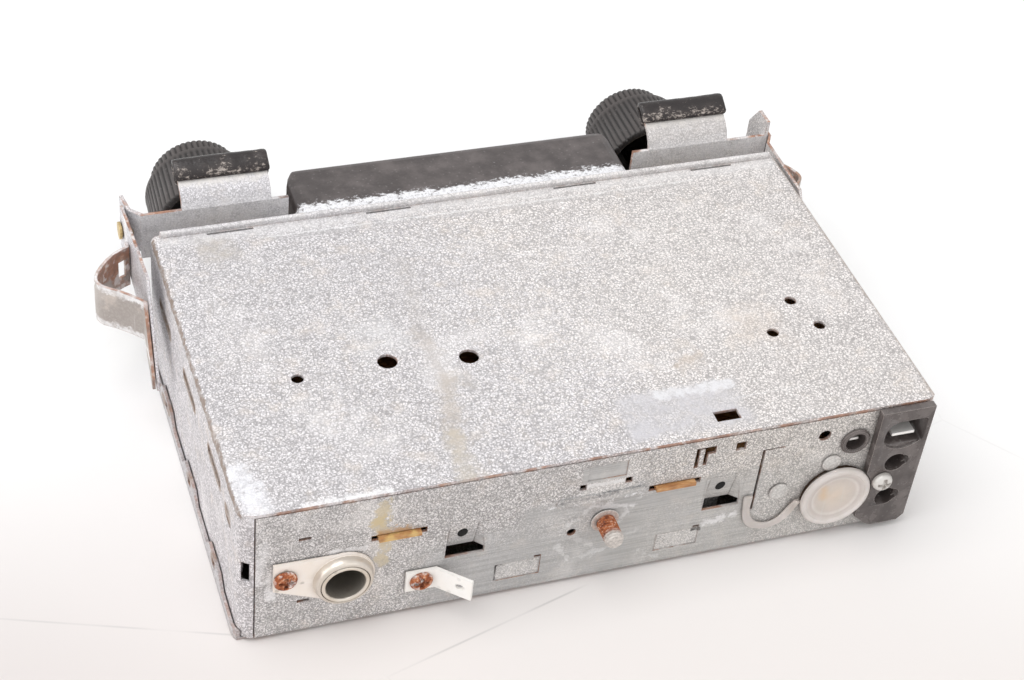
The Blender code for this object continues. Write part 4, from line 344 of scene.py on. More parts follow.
class Specks(Effect):
    """Small round flecks, some cells bare."""

    name = "specks"
    inputs = {"Place": None, "Size": 900.0, "Share": 0.3}

    def fill(self, graph: Graph, given: Sockets) -> Sockets:
        """The middles of those cells whose own tone is under the share."""
        place, size, share = given.values()
        spots = graph.cells(place, size)
        near = graph.band(spots.outputs["Distance"], 0.42, 0.18)
        tone = graph.node("SeparateColor", spots.outputs["Color"]).outputs[0]
        return {"Mask": graph.times(near, graph.math("LESS_THAN", tone, share))}


class CreviceGrimeAndShade(Effect):
    """Grime and painted shade where surfaces stand close together."""

    name = "crevice"
    inputs = {"Reach": 0.004}

    def fill(self, graph: Graph, given: Sockets) -> Sockets:
        """How much of the room over a point is closed off."""
        # Ambient occlusion darkens corners and recesses: painted shade, together with grime.
        room = graph.node("AmbientOcclusion", None, given["Reach"], samples=4)
        return {"Mask": graph.band(room.outputs["AO"], 0.95, 0.25)}


class Wander(Effect):
    """Three rough noises about zero, from wide to fine, that tear the edges of marks."""

    name = "wander"
    inputs = {"Place": None}
    outputs = {"Wide": Kind.PLACE, "Middle": Kind.PLACE, "Fine": Kind.PLACE}

    def fill(self, graph: Graph, given: Sockets) -> Sockets:
        """One coloured noise for each width."""
        noises = [graph.noise(given["Place"], scale, 4.0, 0.72, 1)
                  for scale in (110.0, 430.0, 1500.0)]
        return {label: graph.vector("SUBTRACT", noise, HALF)
                for label, noise in zip(self.outputs, noises)}


class Region(Effect):
    """A box-shaped area with soft, uneven edges."""

    name = "region"
    inputs = {"Place": None, "Push": None, "Low": None, "High": None, "Soft": 0.002,
              "Ragged": 0.004}

    def fill(self, graph: Graph, given: Sockets) -> Sockets:
        """How far inside the box a point is, after a noise has moved it."""
        place, push, low, high, soft, ragged = given.values()
        moved = graph.vector("ADD", place, graph.scaled(push, ragged))
        inside: Value = 1.0
        for above, below in zip(graph.split(graph.vector("SUBTRACT", moved, low)),
                                graph.split(graph.vector("SUBTRACT", high, moved))):
            share = graph.math("DIVIDE", graph.math("MINIMUM", above, below), soft)
            inside = graph.times(inside, graph.math("ADD", share, 0.5, clamp=True))
        return {"Mask": inside}


class Streak(Effect):
    """A rounded run from one place to another with torn edges."""

    name = "streak"
    inputs = {"Place": None, "Push": None, "Start": None, "Run": None, "Radius": 0.002,
              "Soft": 0.001, "Ragged": 0.002}

    def fill(self, graph: Graph, given: Sockets) -> Sockets:
        """The distance to the nearest point of the run, shifted by a noise, against the radius."""
        place, push, start, run, radius, soft, ragged = given.values()
        away = graph.vector("SUBTRACT", place, start)
        share = graph.math("DIVIDE", graph.vector("DOT_PRODUCT", away, run),
                           graph.vector("DOT_PRODUCT", run, run), clamp=True)
        distance = graph.vector("LENGTH", graph.vector("SUBTRACT", away, graph.scaled(run, share)))
        shift = graph.times(graph.split(push)[0], graph.times(ragged, 2.0))
        inside = graph.math("SUBTRACT", radius, graph.plus(distance, shift))
        return {"Mask": graph.math("ADD", graph.math("DIVIDE", inside, soft), 0.5, clamp=True)}


class Coat:
    """A finish as it is laid on a material, from its first colour to its bump."""

    def __init__(self, graph: Graph, shader: bpy.types.Node) -> None:
        """Starts from the surface's place in the part's own frame."""
        self.graph, self.shader = graph, shader
        self.place = graph.node("TexCoord").outputs["Object"]
        self.colour: Value = (0.0, 0.0, 0.0)
        self.normal: Socket | None = None

    def put(self, kind: type[Effect], **values: Value) -> Sockets:
        """The outputs of a shared effect at this surface."""
        return kind().put(self.graph, **{"place": self.place, **values})

    def mask(self, kind: type[Effect], **values: Value) -> Socket:
        """The mask of a shared effect at this surface."""
        return self.put(kind, **values)["Mask"]

    def lay(self, mask: Value, amount: Value, colour: Value) -> None:
        """Lays a colour over what there is, by a mask times an amount."""
        self.colour = self.graph.mix(self.graph.times(mask, amount), self.colour, colour)

    def edges(self, radius: float) -> Socket:
        """Rounds the bump's normal at the edges, and gives where they are."""
        edge = self.put(EdgeWear, radius=radius)
        self.normal = edge["Normal"]
        return edge["Mask"]

    def close(self, roughness: Value, height: Value, strength: float, distance: float,
              **others: Value) -> None:
        """Feeds the shader.

        Args:
            roughness: How rough the surface is.
            height: The height that the bump follows.
            strength: How much of the bump shows.
            distance: The height of a full step, in metres.
            **others: What feeds its other inputs, by name with underscores.
        """
        bump = self.graph.node("Bump")
        fed = {"Strength": strength, "Distance": distance, "Height": height, "Normal": self.normal}
        for label, value in fed.items():
            if value is not None:
                self.graph.feed(bump.inputs[label], value)
        fed = {"Base_Color": self.colour, "Roughness": roughness, "Normal": bump.outputs[0]}
        for label, value in {**fed, **others}.items():
            self.graph.feed(self.shader.inputs[label.replace("_", " ")], value)


class Finish(Protocol):
    """What a piece is dressed in."""

    name: str

    def paint(self, coat: Coat) -> None:
        """Adds the finish's nodes to a new material."""


@dataclass(frozen=True)
class Mark:
    """Something worn, glued or stained on sheet metal, or light or shade painted on it.

    Bare is how much of the bloom is gone there, or, below zero, how much more there is.
    """

    colour: Colour
    amount: float
    bare: float
    soft: float
    ragged: float

    def push(self, pushes: Sockets) -> Socket:
        """The noise whose width suits how ragged the edge is."""
        if self.ragged >= 0.008:
            return pushes["Wide"]
        return pushes["Middle" if self.ragged >= 0.0018 else "Fine"]


@dataclass(frozen=True)
class Stain(Mark):
    """A mark over a box-shaped area."""

    low: Place
    high: Place

    def mask(self, coat: Coat, pushes: Sockets) -> Socket:
        """Where the stain lies."""
        return coat.mask(Region, push=self.push(pushes), low=self.low, high=self.high,
                         soft=self.soft, ragged=self.ragged)


@dataclass(frozen=True)
class Smear(Mark):
    """A mark that runs from one place to another."""

    start: Place
    end: Place
    radius: float

    def mask(self, coat: Coat, pushes: Sockets) -> Socket:
        """Where the smear lies."""
        run = tuple(b - a + 1e-6 for a, b in zip(self.start, self.end))
        return coat.mask(Streak, push=self.push(pushes), start=self.start, run=run,
                         radius=self.radius, soft=self.soft, ragged=self.ragged)


@dataclass(frozen=True)
class SheetMetal:
    """Weathered zinc plate: pale bloom, darker seams, brown cut edges and marks."""

    name: str
    light: Colour = (0.92, 0.90, 0.90)
    dark: Colour = (0.40, 0.385, 0.385)
    smooth: Colour = (0.50, 0.49, 0.49)
    crystal: float = 620.0
    bloom: float = 1.0
    roughness: float = 0.55
    metallic: float = 0.15
    rust: float = 0.7
    edge_radius: float = 0.0004
    scratch: float = 0.25
    warm: float = 0.35
    grime_and_shade: float = 0.35
    brush: float = 0.0
    cut: float = 0.85
    inner: float = 0.0
    cool: Colour = (0.965, 0.967, 1.00)
    sunny: Colour = (1.02, 1.005, 0.995)
    marks: tuple[Stain | Smear, ...] = ()

    def zinc(self, coat: Coat, cover: Value, tone: Value) -> Socket:
        """The clean sheet: bloom over clouded plain zinc, warmer and cooler in turn.

        Args:
            coat: The coat that is laid.
            cover: How much of the bloom there is.
            tone: The tone of the bloom.

        Returns:
            Its colour.
        """
        graph, place = coat.graph, coat.place
        cloud = coat.mask(Blotches, size=38.0, low=0.30, high=0.72)
        plain = graph.mix(cloud, tuple(0.86 * c for c in self.smooth), self.smooth)
        if self.brush:
            lines = graph.noise(graph.stretch(place, (55, 400, 2600)), 1.0, 3.0, 0.6)
            shade = graph.band(lines, 0.34, 0.68, 1.0 - self.brush, 1.0 + 0.4 * self.brush)
            plain = graph.mix(1.0, plain, shade, "MULTIPLY")
        colour = graph.mix(cover, plain, graph.mix(tone, self.dark, self.light))
        far = graph.times(graph.split(place)[0], 5.0)
        fine = graph.times(graph.noise(place, self.crystal * 0.5, 2.0, 0.6), 1.1)
        drift = graph.plus(graph.plus(graph.noise(place, 16.0, 3.0), far),
                           graph.math("SUBTRACT", fine, 0.55))
        tint = graph.mix(graph.band(drift, 0.25, 0.85), self.sunny, self.cool)
        return graph.mix(1.0, colour, tint, "MULTIPLY")

    def rusted(self, coat: Coat, edge: Socket) -> Socket:
        """Where rust is: on worn edges, on cut faces and, where asked, on the inner side.

        Args:
            coat: The coat that is laid.
            edge: Where the edges are.

        Returns:
            The mask.
        """
        graph, place = coat.graph, coat.place
        broken = graph.band(graph.noise(place, 300.0, 4.0, 0.65), 0.42, 0.60)
        worn = graph.times(edge, graph.times(broken, self.rust))
        tagged = graph.node("Attribute", attribute_name="cut").outputs["Fac"]
        uneven = graph.band(graph.noise(place, 170.0, 3.0, 0.6), 0.38, 0.60, 0.10, self.cut)
        worn = graph.math("MAXIMUM", worn, graph.times(tagged, uneven))
        if self.inner:
            outward = graph.split(graph.node("NewGeometry").outputs["Normal"])[0]
            inward = graph.band(graph.times(outward, graph.split(place)[0]), 0.0, -0.04)
            spread = graph.band(graph.noise(place, 120.0, 4.0, 0.65), 0.40, 0.56)
            inside = graph.times(graph.times(inward, spread), self.inner)
            worn = graph.math("MAXIMUM", worn, inside)
        return worn

    def paint(self, coat: Coat) -> None:
        """Clean zinc, then marks, rubs, grime with painted shade in crevices, and rusty edges."""
        graph, place = coat.graph, coat.place
        bloom = coat.put(ZincBloom, size=self.crystal)
        edge = coat.edges(self.edge_radius)
        pushes = coat.put(Wander) if self.marks else {}
        marks = [(mark, mark.mask(coat, pushes)) for mark in self.marks]
        cover: Value = self.bloom
        for mark, mask in marks:
            if mark.bare:
                kept = 0.0 if mark.bare > 0 else 1.0
                cover = graph.blend(graph.times(mask, abs(mark.bare)), cover, kept)
        coat.colour = self.zinc(coat, cover, bloom["Tone"])
        patches = coat.mask(Blotches, size=150.0, low=0.52, high=0.74)
        coat.lay(patches, self.warm, (0.78, 0.69, 0.61))
        aside = graph.vector("ADD", place, (0.3, 0.1, 0.2))
        coat.lay(coat.mask(Blotches, place=aside, size=48.0, low=0.54, high=0.70), 0.30, self.light)
        coat.lay(coat.mask(Scratches), self.scratch, (0.88, 0.88, 0.90))
        patchy = graph.band(graph.noise(place, 420.0, 4.0, 0.65), 0.30, 0.60, 0.45, 1.0)
        for mark, mask in marks:
            if mark.amount:
                coat.lay(graph.times(mask, patchy), mark.amount, mark.colour)
        # Dark grey where ambient occlusion finds crevices: grime and painted shade.
        coat.lay(coat.mask(CreviceGrimeAndShade, reach=0.0035), self.grime_and_shade, (0.12, 0.105, 0.10))
        rust = coat.put(RustBloom, size=420.0)["Colour"]
        crust = graph.band(graph.noise(place, 240.0, 3.0, 0.6), 0.56, 0.66, 0.0, 0.8)
        brown = graph.mix(crust, graph.mix(0.55, rust, (0.38, 0.25, 0.185)), (0.84, 0.81, 0.80))
        coat.colour = graph.mix(self.rusted(coat, edge), coat.colour, brown)
        roughness = graph.blend(bloom["Tone"], self.roughness - 0.08, self.roughness + 0.14)
        height = graph.times(bloom["Height"], graph.blend(cover, 0.25, 1.0))
        coat.close(roughness, height, 0.45, 0.00022, Metallic=self.metallic)


@dataclass(frozen=True)
class RustySteel:
    """Steel screws and studs: rust with patches where the plating is left."""

    name: str
    clean: Colour
    share: float
    metal: float
    clean_run: Span | None = None
    seat_run: Span | None = None
    grain: float = 850.0

    def paint(self, coat: Coat) -> None:
        """Rust over plating, fading along the shaft where that is asked."""
        graph, place = coat.graph, coat.place
        rust = coat.put(RustBloom, size=self.grain)
        coat.edges(0.0002)
        left = coat.mask(Blotches, size=self.grain * 0.45, low=self.share, high=self.share + 0.14)
        if self.clean_run and self.seat_run:
            along = graph.split(place)[1]
            shift = graph.times(graph.math("SUBTRACT", rust["Height"], 0.5), 0.004)
            for run, y in ((self.clean_run, graph.plus(along, shift)), (self.seat_run, along)):
                left = graph.math("MAXIMUM", left, graph.band(y, *run))
        speck = graph.band(graph.noise(place, 1500.0, 3.0, 0.6), 0.3, 0.7, 0.72, 1.1)
        plating = graph.mix(1.0, self.clean, speck, "MULTIPLY")
        coat.colour = graph.mix(left, rust["Colour"], plating)
        # Dark brown where ambient occlusion finds crevices: rust and painted shade.
        coat.lay(coat.mask(CreviceGrimeAndShade, reach=0.0015), 0.6, (0.07, 0.03, 0.02))
        coat.close(graph.blend(left, 0.85, 0.45), rust["Height"], 0.7, 0.0004,
                   Metallic=graph.times(left, self.metal))


@dataclass(frozen=True)
class PlatedMetal:
    """Tin, brass or steel with tarnish, small spots and bright edges."""

    name: str
    colour: Colour
    tarnish: Colour
    roughness: float = 0.42
    metallic: float = 0.35
    spots: float = 0.35
    edge_colour: Colour = (0.9, 0.88, 0.85)
    edge: float = 0.3
    reach: float = 0.0025
    grime_and_shade: float = 0.55
    grime_and_shade_colour: Colour = (0.16, 0.11, 0.08)

    def paint(self, coat: Coat) -> None:
        """A clouded plating with tarnish spots, grime and painted shade in corners, and worn edges.
        """
        coat.colour = self.colour
        coat.lay(coat.mask(Blotches, size=170.0, low=0.35, high=0.72), 0.45, self.tarnish)
        darker = tuple(0.4 * c for c in self.tarnish)
        coat.lay(coat.mask(Specks, size=520.0, share=0.22), self.spots, darker)
        # Darker where ambient occlusion finds corners: grime and painted shade.
        coat.lay(coat.mask(CreviceGrimeAndShade, reach=self.reach), self.grime_and_shade, self.grime_and_shade_colour)
        coat.lay(coat.edges(0.00025), self.edge, self.edge_colour)
        grain = coat.graph.noise(coat.place, 1400.0, 3.0, 0.6)
        roughness = coat.graph.blend(grain, self.roughness - 0.08, self.roughness + 0.14)
        coat.close(roughness, grain, 0.25, 0.0001, Metallic=self.metallic)


@dataclass(frozen=True)
class MouldedPlastic:
    """Dark moulded plastic with dust, pale rubbed edges and small chips."""

    name: str
    colour: Colour
    dusty: Colour = (0.20, 0.19, 0.19)
    dust: float = 0.35
    edge_colour: Colour = (0.30, 0.29, 0.29)
    edge: float = 0.5
    chips: float = 0.0
    roughness: float = 0.5
    specks: float = 0.25
    ribbed: bool = False

    def paint(self, coat: Coat) -> None:
        """Plain plastic, then dust in clouds, flecks, rubbed edges, chips, and rib tops paler with
        dust and a painted highlight.
        """
        graph, place = coat.graph, coat.place
        cloud = coat.mask(Blotches, size=130.0, low=0.35, high=0.72)
        coat.colour = self.colour
        coat.lay(cloud, self.dust, self.dusty)
        coat.lay(coat.mask(Specks, size=1100.0, share=0.16), self.specks, (0.55, 0.53, 0.51))
        coat.lay(coat.edges(0.00035), self.edge, self.edge_colour)
        if self.chips:
            torn = graph.noise(graph.stretch(place, (0.6, 1, 1)), 900.0, 5.0, 0.75)
            rear = graph.band(graph.split(place)[1], at(0.1165), at(0.1112), 0.0, 0.34)
            marks = graph.band(graph.plus(torn, rear), 0.66, 0.80, 0.0, self.chips)
            powder = graph.ramp(graph.noise(place, 1500.0, 4.0, 0.7), (0.30, (0.50, 0.49, 0.50)),
                                (0.50, (0.93, 0.93, 0.96)))
            coat.colour = graph.mix(marks, coat.colour, powder)
        if self.ribbed:
            # Rib tops made paler: dust, and a painted highlight.
            rib = graph.node("Attribute", attribute_name="rib").outputs["Fac"]
            coat.lay(rib, 0.75, self.edge_colour)
        coat.close(graph.blend(cloud, self.roughness, self.roughness + 0.16),
                   graph.noise(place, 1700.0, 3.0, 0.6), 0.3, 0.00012)


@dataclass(frozen=True)
class OldRubber:
    """Perished rubber with tan specks and pale powder, thicker below."""

    name: str
    colour: Colour = (0.020, 0.015, 0.015)
    powder: Colour = (0.52, 0.42, 0.35)

    def paint(self, coat: Coat) -> None:
        """Brownish black, shining above, with a broken crust of powder below."""
        graph, place = coat.graph, coat.place
        coat.colour = self.colour
        coat.lay(coat.mask(Blotches, size=260.0, low=0.42, high=0.78), 0.35, (0.115, 0.092, 0.086))
        low = graph.band(graph.split(place)[2], 0.0522, 0.0500)
        crust = graph.noise(graph.stretch(place, (0.55, 1, 1)), 1500.0, 5.0, 0.75)
        patch = graph.noise(place, 260.0, 3.0, 0.6)
        powdery = graph.plus(crust, graph.times(graph.math("SUBTRACT", patch, 0.5), 0.5))
        spots = graph.band(powdery, graph.blend(low, 0.62, 0.50), graph.blend(low, 0.76, 0.66))
        coat.lay(spots, 0.7, graph.mix(patch, self.powder, (0.62, 0.57, 0.53)))
        coat.lay(coat.edges(0.0005), 0.35, (0.28, 0.25, 0.24))
        coat.close(graph.blend(low, 0.26, 0.75), graph.noise(place, 800.0, 4.0, 0.65), 0.5, 0.0003)


@dataclass(frozen=True)
class LaminateBoard:
    """Brown paper laminate with dried yellow glue near the rear panel."""

    name: str

    def paint(self, coat: Coat) -> None:
        """Fibrous brown, mottled, with glue over the ears."""
        graph, place = coat.graph, coat.place
        fibre = graph.noise(graph.stretch(place, (260, 900, 900)), 1.0, 4.0, 0.6)
        coat.colour = graph.ramp(fibre, (0.3, (0.32, 0.13, 0.05)), (0.5, (0.50, 0.24, 0.09)),
                                 (0.7, (0.70, 0.42, 0.20)))
        glue = coat.mask(Region, push=coat.put(Wander)["Middle"], low=(0.044, at(0.004), 0.02),
                         high=(0.062, at(-0.004), 0.04), soft=0.002, ragged=0.005)
        lumps = graph.band(graph.noise(place, 330.0, 3.0, 0.5), 0.38, 0.60)
        coat.lay(glue, graph.times(lumps, 0.85), (0.74, 0.52, 0.20))
        coat.lay(coat.edges(0.0003), 0.35, (0.74, 0.55, 0.36))
        coat.close(graph.blend(fibre, 0.45, 0.75), fibre, 0.4, 0.0003)


@dataclass(frozen=True)
class CapPolythene:
    """Milky polythene: pale thick bead, grey thin web and a yellowed middle."""

    name: str
    radius: float
    clear: float = 0.2
    centre: Place = (-0.0655, 0.0, 0.0155)
    spot: Place = (-0.0622, 0.0, 0.0160)

    def paint(self, coat: Coat) -> None:
        """Tones set by the distance from the cap's middle, with soft smears."""
        graph, place, flat = coat.graph, coat.place, (1.0, 0.0, 1.0)
        away = graph.vector("MULTIPLY", graph.vector("SUBTRACT", place, self.centre), flat)
        share = graph.math("DIVIDE", graph.vector("LENGTH", away), self.radius)
        coat.colour = graph.ramp(
            share, (0.0, (0.88, 0.75, 0.63)), (0.30, (0.85, 0.75, 0.66)),
            (0.58, (0.80, 0.71, 0.65)), (0.66, (0.92, 0.85, 0.80)), (0.72, (0.73, 0.65, 0.61)),
            (0.80, (0.82, 0.75, 0.71)), (0.88, (0.92, 0.86, 0.83)), (0.99, (0.80, 0.74, 0.71)))
        smear = coat.mask(Blotches, size=240.0, low=0.38, high=0.70)
        coat.lay(smear, 0.35, (0.66, 0.62, 0.55))
        yellow = coat.mask(Streak, place=graph.vector("MULTIPLY", place, flat),
                           push=coat.put(Wander)["Middle"], start=self.spot, radius=0.0010,
                           run=(0.0006, 0.0, 0.0030), soft=0.0022, ragged=0.0016)
        coat.lay(yellow, 0.55, (0.86, 0.60, 0.34))
        coat.lay(coat.mask(Scratches, level=0.62), 0.2, (0.85, 0.83, 0.80))
        coat.edges(0.0003)
        coat.close(graph.blend(smear, 0.30, 0.48), smear, 0.2, 0.0003,
                   Transmission_Weight=self.clear, Subsurface_Weight=0.12,
                   Subsurface_Radius=(0.002, 0.0018, 0.0015))


@dataclass(frozen=True)
class ClearPlastic:
    """Clear plastic with haze and fine rubs."""

    name: str
    tint: Colour = (0.93, 0.94, 0.93)

    def paint(self, coat: Coat) -> None:
        """Plain transmission with a hazy roughness."""
        graph = coat.graph
        haze = coat.mask(Blotches, size=90.0, low=0.4, high=0.75)
        coat.colour = graph.mix(haze, self.tint, tuple(0.92 * c for c in self.tint))
        worn = graph.math("MAXIMUM", coat.mask(Scratches, level=0.6), graph.times(haze, 0.4))
        coat.close(graph.blend(worn, 0.05, 0.32), haze, 0.15, 0.0001, Transmission_Weight=1.0,
                   IOR=1.47)


@dataclass(frozen=True)
class PrintedFace:
    """A printed or painted sheet with light grain and wear."""

    name: str
    colour: Colour
    faded: Colour

    def paint(self, coat: Coat) -> None:
        """Even ink with faint fading and dust."""
        coat.colour = self.colour
        coat.lay(coat.mask(Blotches, size=110.0, low=0.35, high=0.75), 0.5, self.faded)
        coat.lay(coat.mask(Specks, size=1300.0, share=0.1), 0.3, (0.6, 0.58, 0.55))
        grain = coat.graph.noise(coat.place, 2200.0)
        coat.close(coat.graph.blend(grain, 0.45, 0.65), grain, 0.15, 0.00005)


@dataclass(frozen=True)
class StudioFloor:
    """A white table top with faint scratches, and painted shade that makes it darker and warmer
    towards the camera.
    """

    name: str = "studio_floor"

    def paint(self, coat: Coat) -> None:
        """Near white, with painted shade that darkens and warms it towards the camera, and thin
        marks.
        """
        graph, place = coat.graph, coat.place
        lines = graph.cells(graph.stretch(place, (1, 1, 0), (0, 0, 0.4)), 7.0, "DISTANCE_TO_EDGE")
        thin = graph.band(lines.outputs["Distance"], 0.0028, 0.0)
        broken = graph.band(graph.noise(place, 9.0, 3.0), 0.48, 0.56)
        x, y, _ = graph.split(place)
        # Painted shade: the floor turns darker and warmer towards the camera, and darker still
        # towards +x.
        near = graph.band(graph.plus(graph.times(x, 0.30), y), -0.02, 0.130)
        aside = graph.band(x, 0.045, 0.150)
        warm = graph.mix(aside, (0.80, 0.757, 0.736), (0.71, 0.665, 0.65))
        coat.colour = graph.mix(near, (0.985, 0.985, 0.985), warm)
        coat.lay(graph.times(thin, broken), graph.times(near, 0.85), (0.55, 0.53, 0.52))
        coat.close(0.6, graph.noise(place, 300.0, 3.0), 0.05, 0.0002, Specular_IOR_Level=0.2)


def dress(obj: bpy.types.Object, finish: Finish) -> None:
    """Puts one finish on an object in place of what it had; its material is made on first use."""
    material = bpy.data.materials.get(f"look_{finish.name}")
    if material is None:
        material = bpy.data.materials.new(f"look_{finish.name}")
        material.use_nodes = True
        tree = material.node_tree
        finish.paint(Coat(Graph(tree), tree.nodes["Principled BSDF"]))
    if len(obj.material_slots) == 0:
        obj.data.materials.append(material)
    for slot in obj.material_slots:
        slot.link = "OBJECT"
        slot.material = material


def dress_nodes(finish: Finish, *names: str) -> None:
    """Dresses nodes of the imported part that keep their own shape."""
    for name in names:
        dress(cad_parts[name], finish)
        log.info("dressed %s in %s", name, finish.name)


def linked(name: str, data: bpy.types.ID) -> bpy.types.Object:
    """A new object in the scene with this data."""
    made = bpy.data.objects.new(name, data)
    bpy.context.scene.collection.objects.link(made)
    return made


def shade(mesh: bpy.types.Mesh, sharp: float) -> None:
    """Smooth shading, but for edges over this angle in degrees."""
    mesh.shade_smooth()
    mesh.set_sharp_from_angle(angle=math.radians(sharp))


def finish_mesh(name: str, points: np.ndarray, faces: Sequence[Sequence[int]],
                sharp: float = 38.0) -> bpy.types.Object:
    """Makes a closed mesh object from points and faces.

    Args:
        name: The object's name.
        points: An array of points, whose last axis is x, y and z.
        faces: The corners of each face as rows of indices.
        sharp: The angle in degrees over which an edge stays sharp.

    Returns:
        The new object, linked to the scene, with its faces turned outwards.
    """
    mesh = bpy.data.meshes.new(name)
    mesh.from_pydata(points.reshape(-1, 3).tolist(), [], faces)
    shape = bmesh.new()
    shape.from_mesh(mesh)
    bmesh.ops.remove_doubles(shape, verts=shape.verts, dist=2e-7)
    bmesh.ops.recalc_face_normals(shape, faces=shape.faces)
    shape.to_mesh(mesh)
    shape.free()
    shade(mesh, sharp)
    return linked(name, mesh)


def grid_faces(rows: int, columns: int, wrap_rows: bool = False,
               wrap_columns: bool = False) -> list[list[int]]:
    """The four-cornered faces of a grid of points, row by row.

    Args:
        rows: How many rows of points there are.
        columns: How many points a row has.
        wrap_rows: Whether the last row joins the first.
        wrap_columns: Whether the end of a row joins its start.

    Returns:
        Rows of four indices.
    """
    row = np.arange(rows if wrap_rows else rows - 1)[:, None]
    column = np.arange(columns if wrap_columns else columns - 1)[None, :]
    below, right = (row + 1) % rows, (column + 1) % columns
    corners = [row * columns + column, row * columns + right, below * columns + right,
               below * columns + column]
    size = (row.size, column.size)
    return np.stack([np.broadcast_to(c, size) for c in corners], -1).reshape(-1, 4).tolist()


def turned_surface(name: str, profile: Profile, x: float, z: float, steps: int,
                   relief: Relief | None = None, sharp: float = 38.0) -> bpy.types.Object:
    """A closed profile turned about a line along Y.

    The point at angle a on profile point p is (x + r cos a, y, z + r sin a), where r and y are
    the profile's, and r is changed by the relief where one is given.

    Args:
        name: The object's name.
        profile: Radius and depth of each point; it closes on itself or ends on the axis.
        x: The axis's place sideways.
        z: The axis's height.
        steps: How many steps a full turn has.
        relief: Gives what is added to the radius for arrays of angle and point number.
        sharp: The angle in degrees over which an edge stays sharp.

    Returns:
        The new object.
    """
    given = np.array(profile, float)
    angle = np.linspace(0, 2 * math.pi, steps, endpoint=False)[:, None]
    radius = np.broadcast_to(given[None, :, 0], (steps, len(given))).copy()
    if relief is not None:
        radius = radius + relief(angle, np.arange(len(given))[None, :])
    y = np.broadcast_to(at(0) - given[:, 1], radius.shape)
    points = np.stack([x + radius * np.cos(angle), y, z + radius * np.sin(angle)], -1)
    ring = not (given[0, 0] == 0 and given[-1, 0] == 0)
    return finish_mesh(name, points, grid_faces(steps, len(given), True, ring), sharp)


def lofted(name: str, rings: np.ndarray, sharp: float) -> bpy.types.Object:
    """Joins rings of points one after the other and closes both ends."""
    rows, count = rings.shape[:2]
    ends = [list(range(count)), list(range((rows - 1) * count, rows * count))]
    return finish_mesh(name, rings, grid_faces(rows, count, wrap_columns=True) + ends, sharp)


def column(items: bpy.types.bpy_prop_collection, name: str, kind: type,
           width: int = 1) -> np.ndarray:
    """One property of all the items of a mesh as an array."""
    values = np.empty(len(items) * width, kind)
    items.foreach_get(name, values)
    return values.reshape(-1, width) if width > 1 else values


def tag_cut_faces(mesh: bpy.types.Mesh, clean: Sequence[Box], thickness: float = 0.00105) -> None:
    """Keeps on each face whether it is a sheet's narrow cut face.

    A face counts where 2 area / perimeter is under the thickness, and over a quarter of its
    outline turns by more than 50 degrees.

    Args:
        mesh: The merged mesh of a sheet.
        clean: Boxes whose cut faces stay clean, as low and high corners.
        thickness: The sheet's thickness.
    """
    count = len(mesh.polygons)
    area, normal = column(mesh.polygons, "area", float), column(mesh.polygons, "normal", float, 3)
    owner = np.repeat(np.arange(count), column(mesh.polygons, "loop_total", int))
    edge = column(mesh.loops, "edge_index", int)
    ends = column(mesh.vertices, "co", float, 3)[column(mesh.edges, "vertices", int, 2)]
    length = np.linalg.norm(ends[:, 0] - ends[:, 1], axis=1)
    order = np.argsort(edge, kind="stable")
    first, second = order[:-1], order[1:]
    paired = edge[first] == edge[second]
    turn = (normal[owner[first[paired]]] * normal[owner[second[paired]]]).sum(1)
    sharp = np.zeros(len(length))
    sharp[edge[first[paired]]] = turn < math.cos(math.radians(50))
    around = np.bincount(owner, length[edge], count)
    turned = np.bincount(owner, (length * sharp)[edge], count)
    cut = (2 * area < thickness * around) & (turned > 0.25 * around)
    middle = column(mesh.polygons, "center", float, 3)
    for low, high in clean:
        cut &= ~((middle > low) & (middle < high)).all(1)
    mesh.attributes.new("cut", "FLOAT", "FACE").data.foreach_set("value", cut.astype(np.float32))


def hand_over(made: bpy.types.Object, finish: Finish, body: Body, slot: str,
              *replaced: str) -> bpy.types.Object:
    """Dresses a new piece and hands it to its body.

    Args:
        made: The piece.
        finish: Its finish.
        body: The body that it rides on.
        slot: The record's material slot; not used.
        *replaced: The nodes that it stands for.

    Returns:
        The piece.
    """
    dress(made, finish)
    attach(made, body.value)
    if replaced:
        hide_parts(*replaced)
    log.info("made %s, riding on %s, in %s", made.name, body.value, finish.name)
    return made


def softened_copy(node: str, finish: Finish, slot: str = "zinc_plate", sharp: float = 32.0,
                  clean: Sequence[Box] = ()) -> bpy.types.Object:
    """A merged copy of a node of the case, with smooth bends and tagged cut faces.

    Args:
        node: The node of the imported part.
        finish: What the copy is dressed in.
        slot: The record's material slot.
        sharp: The angle in degrees over which an edge stays sharp.
        clean: Boxes whose cut faces stay clean.

    Returns:
        The copy, which stands for the node.
    """
    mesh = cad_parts[node].data.copy()
    shape = bmesh.new()
    shape.from_mesh(mesh)
    bmesh.ops.remove_doubles(shape, verts=shape.verts, dist=1e-6)
    bmesh.ops.dissolve_limit(shape, angle_limit=math.radians(0.4), verts=shape.verts,
                             edges=shape.edges)
    shape.to_mesh(mesh)
    shape.free()
    shade(mesh, sharp)
    tag_cut_faces(mesh, clean)
    made = linked(f"{node}_dressed", mesh)
    weighted = made.modifiers.new("even shading", "WEIGHTED_NORMAL")
    weighted.keep_sharp, weighted.weight = True, 100
    return hand_over(made, finish, Body.CASE, slot, node)


def on_top(*rows: Row) -> list[Stain]:
    """Stains, and painted highlight and shade lines, on the top, by x and x, depth and depth,
    colour, amount, bare, soft and ragged.
    """
    return [Stain(colour, amount, bare, soft * MM, ragged * MM, (x * MM, at(far * MM), 0.0425),
                  (end * MM, at(near * MM), 0.0460))
            for x, end, near, far, colour, amount, bare, soft, ragged in rows]


